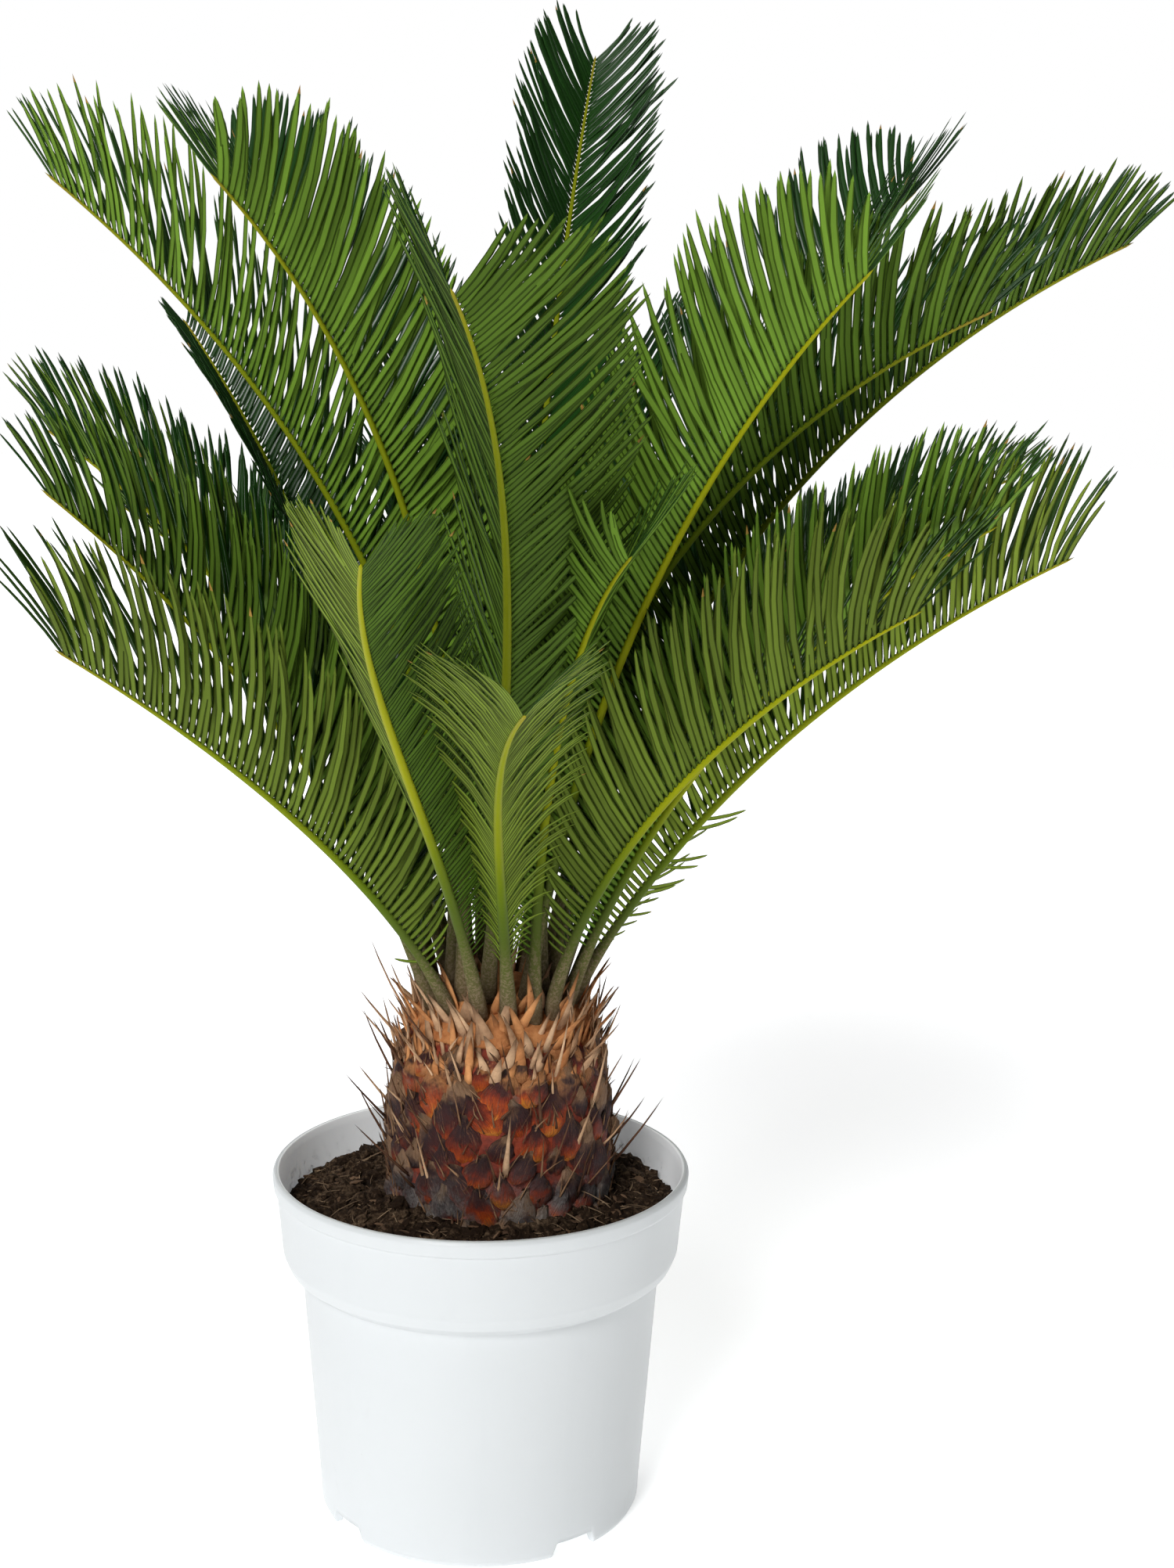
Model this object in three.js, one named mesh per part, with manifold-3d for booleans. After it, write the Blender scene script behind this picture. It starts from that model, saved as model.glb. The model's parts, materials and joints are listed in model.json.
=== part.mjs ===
// Sago palm (Cycas revoluta) in a round nursery pot.
// Millimetres, +Z up. The pot stands on z = 0; the whole plant is centred in X and Y at the end.
import * as THREE from "three";
import Module from "manifold-3d";

const wasm = await Module();
wasm.setup();

// ---------------------------------------------------------------- driving sizes
const clearance = 0.3;            // gap between separate pieces

// pot
const potHeight = 180;
const rimRadius = 106;
const footRadius = 81;
const footHeight = 9;
const footWidth = 3;
const bodyTopRadius = 91.5;       // tapered body just below the band
const bandBottom = 129;
const bandRadius = 101;
const wall = 2;
const floorThickness = 3;
const potSegments = 36;
const notchAngle = 17;            // width of one notch between two feet
const notchHeight = 8;
const firstNotch = 35;

// soil
const soilEdge = 158;             // level at the pot wall
const soilMound = 12;             // rise towards the trunk
const soilRings = 3;

// trunk
const trunkOffset = 9;            // trunk stands a little to the right of the pot axis
const trunkRadius = 57;
const trunkFoot = 84;             // underside of the tuber in the soil
const trunkTop = 256;
const shoulderRadius = 47;
const scaleRows = 5;
const scalesPerRow = 11;
const scaleDepth = 6;
const scaleRise = 13;

// crown
const crownBottom = trunkTop + clearance;
const crownTop = 281;
const crownRadius = 46;
const spikeRings = [
  { count: 22, radius: 44.5, height: 260, lean: 34, length: 25 },
  { count: 20, radius: 43, height: 264, lean: 52, length: 32 },
  { count: 13, radius: 34, height: 271, lean: 70, length: 26 },
];
const spikeRadius = 3.4;

// fronds
const outerRing = { radius: 37, height: 270 };
const innerRing = { radius: 26, height: 276 };
const leafletPitch = 15;
const petioleShare = 0.12;        // part of a frond without leaflets
const ribHalfWidth = { foot: 4.4, middle: 2.6, tip: 1.3 };
const ribHalfHeight = { foot: 3.6, middle: 2.2, tip: 1.1 };
const leafletRoot = 1.1;          // half thickness of a leaflet where it leaves the rib
const terminalLeaflet = 18;

// Each frond: where it is seated on the crown, the way it leans, its rise at the foot and at the tip,
// its length, the sideways sway of the tip, how early it bends, its roll and its longest leaflet.
// Some fronds hold their leaflets further forward or open, by an extra number of degrees.
const frondPlan = {
  top_back: {
    ring: innerRing, seat: 85, lean: 79, foot: 78, tip: 43, length: 562, sway: 0,
    bend: 0.9, roll: -15, leaflet: 69, forward: 8,
  },
  top_left_far: {
    ring: innerRing, seat: 196, lean: 198, foot: 97, tip: 38.6, length: 445, sway: 1,
    bend: 0.8, roll: 0, leaflet: 82,
  },
  top_left_near: {
    ring: innerRing, seat: 224, lean: 228, foot: 92, tip: 36, length: 432, sway: 3,
    bend: 1.3, roll: 0, leaflet: 78,
  },
  top_left_back: {
    ring: innerRing, seat: 132, lean: 127, foot: 90, tip: 33, length: 475, sway: 5,
    bend: 1.1, roll: 0, leaflet: 87,
  },
  centre_near: {
    ring: innerRing, seat: 256, lean: 277, foot: 67, tip: 29, length: 450, sway: -21,
    bend: 1.2, roll: 16, leaflet: 78, forward: 8,
  },
  top_right_near: {
    ring: innerRing, seat: 300, lean: 306, foot: 75, tip: 37, length: 418, sway: 0,
    bend: 1.2, roll: 0, leaflet: 84,
  },
  top_right_back: {
    ring: innerRing, seat: 25, lean: 37, foot: 79, tip: 35.5, length: 484, sway: 2,
    bend: 1, roll: 0, leaflet: 72, tipLength: 1.15,
  },
  top_right_far: {
    ring: innerRing, seat: 348, lean: 342, foot: 78, tip: 25.5, length: 464, sway: -2,
    bend: 1.2, roll: 0, leaflet: 73, tipLength: 1.02,
  },
  right_inner: {
    ring: innerRing, seat: 324, lean: 322, foot: 97, tip: 24, length: 425, sway: 5,
    bend: 0.8, roll: 0, leaflet: 86,
  },
  back_inner_right: {
    ring: innerRing, seat: 62, lean: 69, foot: 75, tip: 46, length: 355, sway: 6,
    bend: 0.8, roll: 0, leaflet: 85,
  },
  back_inner_left: {
    ring: innerRing, seat: 108, lean: 100, foot: 74, tip: 34, length: 355, sway: -6,
    bend: 1, roll: 0, leaflet: 85,
  },
  left_inner: {
    ring: innerRing, seat: 164, lean: 152, foot: 72, tip: 28, length: 310, sway: 4,
    bend: 1, roll: 0, leaflet: 78,
  },
  low_left_near: {
    ring: outerRing, seat: 226, lean: 208, foot: 73.6, tip: 33.4, length: 269, sway: -2,
    bend: 0.4, roll: 0, leaflet: 90, forward: -4, tipForward: 6, tipLength: 1.02,
  },
  low_left_far: {
    ring: outerRing, seat: 200, lean: 199, foot: 71, tip: 40, length: 315, sway: 0,
    bend: 0.9, roll: 0, leaflet: 82, forward: -6, tipLength: 0.9,
  },
  low_left_back: {
    ring: outerRing, seat: 178, lean: 177, foot: 77, tip: 35, length: 338, sway: 1,
    bend: 1.1, roll: 0, leaflet: 74, forward: -6,
  },
  left_back_dark: {
    ring: outerRing, seat: 157, lean: 130.5, foot: 75, tip: 39.2, length: 398, sway: 0,
    bend: 1, roll: 9, leaflet: 66, forward: 3, tipLength: 0.6,
  },
  front_left: {
    ring: outerRing, seat: 254, lean: 254, foot: 67, tip: 22, length: 430, sway: 21,
    bend: 0.5, roll: 6, leaflet: 67, tipForward: -6, tipLength: 0.78,
  },
  front_middle: {
    ring: outerRing, seat: 276, lean: 265, foot: 70, tip: 18, length: 345, sway: 12,
    bend: 0.5, roll: 0, leaflet: 80, forward: 8, fold: -10, tipFold: 10, tipLength: 0.74,
  },
  front_right: {
    ring: outerRing, seat: 296, lean: 283, foot: 88, tip: 27, length: 288, sway: 3,
    bend: 1.15, roll: -6, leaflet: 76, tipLength: 0.9,
  },
  low_right_near: {
    ring: outerRing, seat: 314, lean: 322, foot: 85, tip: 29, length: 295, sway: -3,
    bend: 0.5, roll: 0, leaflet: 90, forward: -4, footLength: 0.72,
  },
  low_right_mid: {
    ring: outerRing, seat: 333, lean: 331, foot: 70, tip: 30, length: 327, sway: 0,
    bend: 1, roll: 0, leaflet: 88, footLength: 0.66,
  },
  low_right_far: {
    ring: outerRing, seat: 351, lean: 339, foot: 63, tip: 27.9, length: 332, sway: 1,
    bend: 0.9, roll: 0, leaflet: 86, tipForward: 16, tipLength: 1.12, footLength: 0.66,
  },
  low_right_back: {
    ring: outerRing, seat: 10, lean: 16, foot: 70, tip: 23, length: 355, sway: -2,
    bend: 1.1, roll: 0, leaflet: 50, tipForward: 8, tipLength: 1.1,
  },
  back_low_right: {
    ring: outerRing, seat: 36, lean: 46, foot: 62, tip: 14, length: 340, sway: 3,
    bend: 0.9, roll: 0, leaflet: 80,
  },
  back_low_middle: {
    ring: outerRing, seat: 66, lean: 72, foot: 66, tip: 20, length: 350, sway: -4,
    bend: 0.9, roll: 0, leaflet: 80,
  },
  back_low_centre: {
    ring: outerRing, seat: 97, lean: 99, foot: 66, tip: 22, length: 345, sway: 4,
    bend: 0.9, roll: 0, leaflet: 80,
  },
  back_low_left: {
    ring: outerRing, seat: 127, lean: 124, foot: 64, tip: 24, length: 330, sway: -3,
    bend: 0.9, roll: 0, leaflet: 78,
  },
};

// ---------------------------------------------------------------- small helpers
const toRadians = Math.PI / 180;
const vector = (x, y, z) => new THREE.Vector3(x, y, z);

// value read off a list of [place, value] pairs
function ramp(pairs, place) {
  if (place <= pairs[0][0]) return pairs[0][1];
  for (let i = 1; i < pairs.length; i += 1) {
    const [endPlace, endValue] = pairs[i];
    const [startPlace, startValue] = pairs[i - 1];
    if (place <= endPlace) {
      const share = (place - startPlace) / (endPlace - startPlace);
      return startValue + (endValue - startValue) * share;
    }
  }
  return pairs[pairs.length - 1][1];
}

// repeatable numbers between 0 and 1
function seeded(seed) {
  let state = seed;
  return () => {
    state = (state * 16807) % 2147483647;
    return state / 2147483647;
  };
}

// solid from corner points and faces
function solidOf(points, faces) {
  const corners = new Float32Array(points.length * 3);
  points.forEach((point, i) => corners.set([point.x, point.y, point.z], i * 3));
  const mesh = new wasm.Mesh({
    numProp: 3,
    vertProperties: corners,
    triVerts: new Uint32Array(faces.flat()),
  });
  return new wasm.Manifold(mesh);
}

// round solid from a profile of [radius, height] that starts and ends on the axis, underside first
function turned(profile, segments, centreX = 0) {
  const points = [];
  const faces = [];
  const rings = profile.map(([radius, height]) => {
    const start = points.length;
    if (radius === 0) {
      points.push(vector(centreX, 0, height));
      return { start, pole: true };
    }
    for (let i = 0; i < segments; i += 1) {
      const angle = (i / segments) * 2 * Math.PI;
      points.push(vector(centreX + radius * Math.cos(angle), radius * Math.sin(angle), height));
    }
    return { start, pole: false };
  });
  for (let k = 1; k < rings.length; k += 1) {
    const low = rings[k - 1];
    const high = rings[k];
    for (let i = 0; i < segments; i += 1) {
      const next = (i + 1) % segments;
      if (low.pole) {
        faces.push([low.start, high.start + next, high.start + i]);
      } else if (high.pole) {
        faces.push([low.start + i, low.start + next, high.start]);
      } else {
        faces.push([low.start + i, low.start + next, high.start + next]);
        faces.push([low.start + i, high.start + next, high.start + i]);
      }
    }
  }
  return solidOf(points, faces);
}

// six-sided block from a lower and an upper ring of four corners, both counter-clockwise from above
function block(lower, upper) {
  const faces = [[0, 2, 1], [0, 3, 2], [4, 5, 6], [4, 6, 7]];
  for (let i = 0; i < 4; i += 1) {
    const next = (i + 1) % 4;
    faces.push([i, next, next + 4], [i, next + 4, i + 4]);
  }
  return solidOf([...lower, ...upper], faces);
}

const parts = [];

// keep a finished solid as a named part
function keep(name, solid, colour, roughness) {
  const mesh = solid.getMesh();
  const stride = mesh.numProp;
  const corners = new Float32Array((mesh.vertProperties.length / stride) * 3);
  for (let i = 0; i < corners.length / 3; i += 1) {
    for (let axis = 0; axis < 3; axis += 1) corners[i * 3 + axis] = mesh.vertProperties[i * stride + axis];
  }
  const geometry = new THREE.BufferGeometry();
  geometry.setAttribute("position", new THREE.BufferAttribute(corners, 3));
  geometry.setIndex(new THREE.BufferAttribute(new Uint32Array(mesh.triVerts), 1));
  geometry.computeVertexNormals();
  const material = new THREE.MeshStandardMaterial({ color: colour, roughness, metalness: 0 });
  const part = new THREE.Mesh(geometry, material);
  part.name = name;
  parts.push(part);
}

// ---------------------------------------------------------------- pot
// outside of the wall from the foot to the rim; the band stands proud under the rim
const potOutside = [
  [footRadius, 0],
  [footRadius + 1.6, 3],
  [footRadius + 2, 12],
  [bodyTopRadius, bandBottom - 2],
  [bodyTopRadius + 3, bandBottom],
  [bandRadius - 2.5, bandBottom + 3],
  [bandRadius, bandBottom + 9],
  [rimRadius - 2, potHeight - 9],
  [rimRadius - 0.4, potHeight - 8],
  [rimRadius, potHeight - 2],
  [rimRadius - 1.2, potHeight],
];

// radius of the inner wall at a height
function potInside(height) {
  return ramp([
    [footHeight + floorThickness, footRadius + 2 - wall],
    [bandBottom - 1, bodyTopRadius - wall],
    [bandBottom + 10, bandRadius - wall],
    [potHeight - 4, rimRadius - 2 - wall],
  ], height);
}

const potFloor = footHeight + floorThickness;
const potProfile = [
  [0, footHeight],
  [footRadius - footWidth - 1, footHeight],
  [footRadius - footWidth, 0],
  ...potOutside,
  [rimRadius - 1.2 - wall, potHeight],
  [potInside(potHeight - 4), potHeight - 4],
  [potInside(bandBottom + 10), bandBottom + 10],
  [potInside(bandBottom - 1), bandBottom - 1],
  [potInside(potFloor), potFloor],
  [0, potFloor],
];
let pot = turned(potProfile, potSegments);

// four notches part the foot ring into four feet
for (let i = 0; i < 4; i += 1) {
  const middle = (firstNotch + 90 * i) * toRadians;
  const ring = (height, spread) => [[68, -1], [92, -1], [92, 1], [68, 1]].map(([radius, side]) => {
    const angle = middle + side * spread * toRadians;
    return vector(radius * Math.cos(angle), radius * Math.sin(angle), height);
  });
  pot = pot.subtract(block(ring(-1, notchAngle / 2 + 1), ring(notchHeight, notchAngle / 2 - 1)));
}
keep("pot", pot, "#e9e9e6", 0.5);

// ---------------------------------------------------------------- trunk
const trunkProfile = [
  [0.45, trunkFoot],
  [0.82, trunkFoot + 12],
  [0.97, trunkFoot + 40],
  [1, trunkFoot + 80],
  [1, trunkFoot + 120],
  [0.95, trunkFoot + 148],
];

// round core of the trunk, grown by an allowance
function trunkCore(allowance) {
  const profile = [[0, trunkFoot - allowance]];
  trunkProfile.forEach(([share, height], i) => {
    profile.push([trunkRadius * share + allowance, i === 0 ? height - allowance : height]);
  });
  profile.push([shoulderRadius + allowance, trunkTop + allowance]);
  profile.push([0, trunkTop + allowance]);
  return turned(profile, 26, trunkOffset);
}

function trunkRadiusAt(height) {
  return ramp([
    ...trunkProfile.map(([share, place]) => [place, trunkRadius * share]),
    [trunkTop, shoulderRadius],
  ], height);
}

// stub of an old leaf base: a blunt wedge whose outer end is turned upward
function leafBase(angle, height, share) {
  const radius = trunkRadiusAt(height) - 3;
  const out = vector(Math.cos(angle), Math.sin(angle), 0);
  const along = vector(-Math.sin(angle), Math.cos(angle), 0);
  const wide = (Math.PI * trunkRadius / scalesPerRow) * 0.86;
  const corner = (reach, side, up) => vector(trunkOffset, 0, height)
    .addScaledVector(out, radius + reach)
    .addScaledVector(along, side)
    .add(vector(0, 0, up));
  const depth = (scaleDepth + 3) * share;
  const inner = [corner(0, 0, -9), corner(0, wide, 0), corner(0, 0, 9), corner(0, -wide, 0)];
  const outer = [
    corner(depth, 0, 0),
    corner(depth, wide * 0.45, 4),
    corner(depth, 0, 8),
    corner(depth, -wide * 0.45, 4),
  ];
  return block(inner, outer);
}

let trunk = trunkCore(0);
const scatter = seeded(41);
const firstRow = 186;
for (let row = 0; row < scaleRows; row += 1) {
  for (let i = 0; i < scalesPerRow; i += 1) {
    const angle = ((i + row * 0.5) / scalesPerRow) * 2 * Math.PI;
    const height = firstRow + row * scaleRise + (i / scalesPerRow) * 2;
    trunk = trunk.add(leafBase(angle, height, 0.85 + 0.3 * scatter()));
  }
}
trunk = trunk.trimByPlane([0, 0, -1], -trunkTop);
keep("trunk", trunk, "#4b342c", 0.85);

// ---------------------------------------------------------------- soil
const soilFloor = potFloor + clearance;
const soilProfile = [
  [0, soilFloor],
  [potInside(soilFloor) - clearance, soilFloor],
  [potInside(bandBottom - 1) - clearance, bandBottom - 1],
  [potInside(bandBottom + 10) - clearance, bandBottom + 10],
];
for (let ring = 0; ring <= soilRings; ring += 1) {
  const share = ring / soilRings;
  const height = soilEdge + soilMound * Math.sin(share * Math.PI / 2);
  const radius = (potInside(soilEdge) - clearance) * (1 - share * 0.55);
  soilProfile.push([radius, height]);
}
soilProfile.push([0, soilEdge + soilMound]);
const soil = turned(soilProfile, potSegments).warp((point) => {
  const [x, y, z] = point;
  if (z < bandBottom + 12) return;
  point[2] = z + 1.6 * Math.sin(x * 0.11 + 1) * Math.cos(y * 0.13);
}).subtract(trunkCore(clearance));
keep("soil", soil, "#3a2c22", 0.95);

// ---------------------------------------------------------------- fronds: the rule of growth
const axisPoint = (ring, angle) => vector(
  trunkOffset + ring.radius * Math.cos(angle * toRadians),
  ring.radius * Math.sin(angle * toRadians),
  ring.height,
);

// directions along, across and above the rib at a share of its length
function frameAt(plan, share) {
  const rise = (plan.foot + (plan.tip - plan.foot) * share ** plan.bend) * toRadians;
  const lean = (plan.lean + plan.sway * share ** 1.5) * toRadians;
  const roll = plan.roll * Math.min(1, share / petioleShare) * toRadians;
  const level = vector(Math.sin(lean), -Math.cos(lean), 0);
  const upper = vector(-Math.sin(rise) * Math.cos(lean), -Math.sin(rise) * Math.sin(lean), Math.cos(rise));
  return {
    along: vector(Math.cos(rise) * Math.cos(lean), Math.cos(rise) * Math.sin(lean), Math.sin(rise)),
    across: level.clone().multiplyScalar(Math.cos(roll)).addScaledVector(upper, Math.sin(roll)),
    above: upper.clone().multiplyScalar(Math.cos(roll)).addScaledVector(level, -Math.sin(roll)),
  };
}

// places and frames along the rib; the first lies inside the crown and is cut off by it
function ribOf(plan) {
  const leafletCount = Math.round((plan.length * (1 - petioleShare)) / leafletPitch);
  const shares = [0, 0.02, 0.06];
  for (let i = 0; i <= leafletCount; i += 1) {
    shares.push(petioleShare + (1 - petioleShare) * (i / leafletCount));
  }
  const steps = 400;
  const line = [axisPoint(plan.ring, plan.seat)];
  for (let i = 0; i < steps; i += 1) {
    const { along } = frameAt(plan, (i + 0.5) / steps);
    line.push(line[i].clone().addScaledVector(along, plan.length / steps));
  }
  return shares.map((share, i) => {
    const frame = frameAt(plan, share);
    const place = line[Math.round(share * steps)].clone();
    if (i === 0) place.addScaledVector(frame.along, -7);
    return { ...frame, share, place };
  });
}

const ribWidthAt = (share) => ramp([
  [0, ribHalfWidth.foot], [petioleShare, ribHalfWidth.middle], [1, ribHalfWidth.tip],
], share);
const ribHeightAt = (share) => ramp([
  [0, ribHalfHeight.foot], [petioleShare, ribHalfHeight.middle], [1, ribHalfHeight.tip],
], share);

// leaflets lean forward more and more, rise from the rib in a V, and are longest in the middle
const forwardAt = (share) => ramp([[0.12, 70], [0.5, 53], [0.85, 46], [0.95, 41], [1, 30]], share);
const foldAt = (share) => ramp([[0.12, 60], [0.3, 56], [0.6, 52], [1, 38]], share);
const reachAt = (share) => ramp([
  [0.12, 0.22], [0.18, 0.43], [0.3, 0.77], [0.45, 0.95], [0.65, 1], [0.85, 0.98], [0.95, 0.78], [1, 0.44],
], share);

function leafletDirection(plan, frame, share, side) {
  const extra = (plan.forward ?? 0) + (plan.tipForward ?? 0) * share ** 4;
  const forward = (forwardAt(share) + extra) * toRadians;
  const openness = (plan.fold ?? 0) + (plan.tipFold ?? 0) * share ** 2;
  const fold = (foldAt(share) + openness) * toRadians;
  return frame.along.clone().multiplyScalar(Math.cos(forward))
    .addScaledVector(frame.across, Math.sin(forward) * Math.cos(fold) * side)
    .addScaledVector(frame.above, Math.sin(forward) * Math.sin(fold));
}

// ---------------------------------------------------------------- fronds: keeping clear of each other
// shortest distance between two segments
function segmentGap(a, b, c, d) {
  const ab = b.clone().sub(a);
  const cd = d.clone().sub(c);
  const ca = a.clone().sub(c);
  const abab = ab.dot(ab);
  const cdcd = cd.dot(cd);
  const abcd = ab.dot(cd);
  const abca = ab.dot(ca);
  const cdca = cd.dot(ca);
  const span = abab * cdcd - abcd * abcd;
  let first = span > 1e-9 ? THREE.MathUtils.clamp((abcd * cdca - abca * cdcd) / span, 0, 1) : 0;
  let second = (abcd * first + cdca) / cdcd;
  if (second < 0) {
    second = 0;
    first = THREE.MathUtils.clamp(-abca / abab, 0, 1);
  } else if (second > 1) {
    second = 1;
    first = THREE.MathUtils.clamp((abcd - abca) / abab, 0, 1);
  }
  return ca.addScaledVector(ab, first).addScaledVector(cd, -second).length();
}

const pointHelper = vector(0, 0, 0);

// distance from a segment to a triangle
function bladeToLine(blade, start, end) {
  const { triangle } = blade;
  const ray = new THREE.Ray(start, end.clone().sub(start).normalize());
  const hit = ray.intersectTriangle(triangle.a, triangle.b, triangle.c, false, pointHelper);
  if (hit && hit.distanceTo(start) <= start.distanceTo(end)) return 0;
  let gap = Infinity;
  [start, end].forEach((point) => {
    gap = Math.min(gap, triangle.closestPointToPoint(point, pointHelper).distanceTo(point));
  });
  const corners = [triangle.a, triangle.b, triangle.c];
  for (let i = 0; i < 3; i += 1) {
    gap = Math.min(gap, segmentGap(start, end, corners[i], corners[(i + 1) % 3]));
  }
  return gap;
}

// distance between two flat blades
function bladeToBlade(one, other) {
  let gap = Infinity;
  [[one, other], [other, one]].forEach(([cutting, cut]) => {
    const corners = [cutting.triangle.a, cutting.triangle.b, cutting.triangle.c];
    for (let i = 0; i < 3; i += 1) {
      gap = Math.min(gap, bladeToLine(cut, corners[i], corners[(i + 1) % 3]));
    }
  });
  return gap;
}

function bladeOf(a, b, c, frond) {
  const triangle = new THREE.Triangle(a, b, c);
  const sphere = new THREE.Sphere().setFromPoints([a, b, c]);
  return { triangle, sphere, frond };
}

const fronds = Object.entries(frondPlan).map(([name, plan]) => ({ name, plan, rib: ribOf(plan) }));
const ribPieces = fronds.flatMap(({ name, rib }) => rib.slice(1).map((station, i) => ({
  frond: name,
  start: rib[i].place,
  end: station.place,
  middle: rib[i].place.clone().lerp(station.place, 0.5),
  reach: rib[i].place.distanceTo(station.place) / 2,
  radius: Math.max(ribWidthAt(rib[i].share), ribHeightAt(rib[i].share)),
})));

// ---------------------------------------------------------------- crown: felted cone with pointed scales
function crownCore(allowance) {
  const rise = crownTop - crownBottom;
  const profile = [[0, crownBottom - allowance], [crownRadius - 1 + allowance, crownBottom - allowance]];
  [[1, 0.1], [0.95, 0.38], [0.82, 0.62], [0.6, 0.82], [0.3, 0.95]].forEach(([share, height]) => {
    const slope = Math.atan2(share, 1.2 * height);
    profile.push([
      crownRadius * share + allowance * Math.sin(slope),
      crownBottom + rise * height + allowance * Math.cos(slope) * 1.4,
    ]);
  });
  profile.push([0, crownTop + allowance]);
  return turned(profile, 30, trunkOffset);
}

// pointed scale with a square foot
function spike(foot, along, length, radius) {
  const across = along.clone().cross(vector(0, 0, 1)).normalize();
  const above = across.clone().cross(along);
  const belly = foot.clone().addScaledVector(along, length * 0.45);
  const corner = (centre, u, v, size) => centre.clone()
    .addScaledVector(across, u * size)
    .addScaledVector(above, v * size * 0.6);
  const signs = [[-1, -1], [1, -1], [1, 1], [-1, 1]];
  const points = [
    ...signs.map(([u, v]) => corner(foot.clone().addScaledVector(along, -6), u, v, radius)),
    ...signs.map(([u, v]) => corner(belly, u, v, radius * 0.8)),
    foot.clone().addScaledVector(along, length),
  ];
  const faces = [[0, 2, 1], [0, 3, 2]];
  for (let i = 0; i < 4; i += 1) {
    const next = (i + 1) % 4;
    faces.push([i, next, next + 4], [i, next + 4, i + 4], [i + 4, next + 4, 8]);
  }
  const solid = solidOf(points, faces);
  if (solid.volume() > 0) return solid;
  return solidOf(points, faces.map(([a, b, c]) => [a, c, b]));
}

let crown = crownCore(0);
const spikeBlades = [];
const jitter = seeded(7);
spikeRings.forEach((ring, level) => {
  for (let i = 0; i < ring.count; i += 1) {
    const angle = ((i + level * 0.5 + 0.3 * jitter()) / ring.count) * 2 * Math.PI;
    const lean = (ring.lean + 16 * (jitter() - 0.5)) * toRadians;
    const turn = angle + 0.35 * (jitter() - 0.5);
    const reach = ring.radius * Math.cos(angle);
    const foot = vector(trunkOffset + reach, ring.radius * Math.sin(angle), ring.height);
    const along = vector(Math.cos(lean) * Math.cos(turn), Math.cos(lean) * Math.sin(turn), Math.sin(lean));
    const length = ring.length * (0.75 + 0.5 * jitter());
    const end = foot.clone().addScaledVector(along, length);
    const clear = ribPieces.every((piece) => {
      const gap = segmentGap(foot, end, piece.start, piece.end);
      return gap > piece.radius + spikeRadius + 0.5;
    });
    if (clear) {
      crown = crown.add(spike(foot, along, length, spikeRadius));
      const middle = foot.clone().lerp(end, 0.5);
      spikeBlades.push({ start: foot, end, middle, reach: length / 2, radius: spikeRadius });
    }
  }
});
crown = crown.trimByPlane([0, 0, 1], crownBottom);
keep("crown", crown, "#8a6443", 0.9);

// ---------------------------------------------------------------- fronds: building them
const bladeMargin = 1.7;
const placedBlades = [];

function isClear(blade) {
  const centre = blade.sphere.center;
  const { radius } = blade.sphere;
  for (const piece of [...ribPieces, ...spikeBlades]) {
    const far = centre.distanceTo(piece.middle) > radius + piece.reach + piece.radius + 3;
    if (!far && piece.frond !== blade.frond) {
      if (bladeToLine(blade, piece.start, piece.end) < piece.radius + bladeMargin) return false;
    }
  }
  for (const other of placedBlades) {
    const far = centre.distanceTo(other.sphere.center) > radius + other.sphere.radius + 3;
    if (!far && other.frond !== blade.frond) {
      if (bladeToBlade(blade, other) < bladeMargin) return false;
    }
  }
  return true;
}

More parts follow.
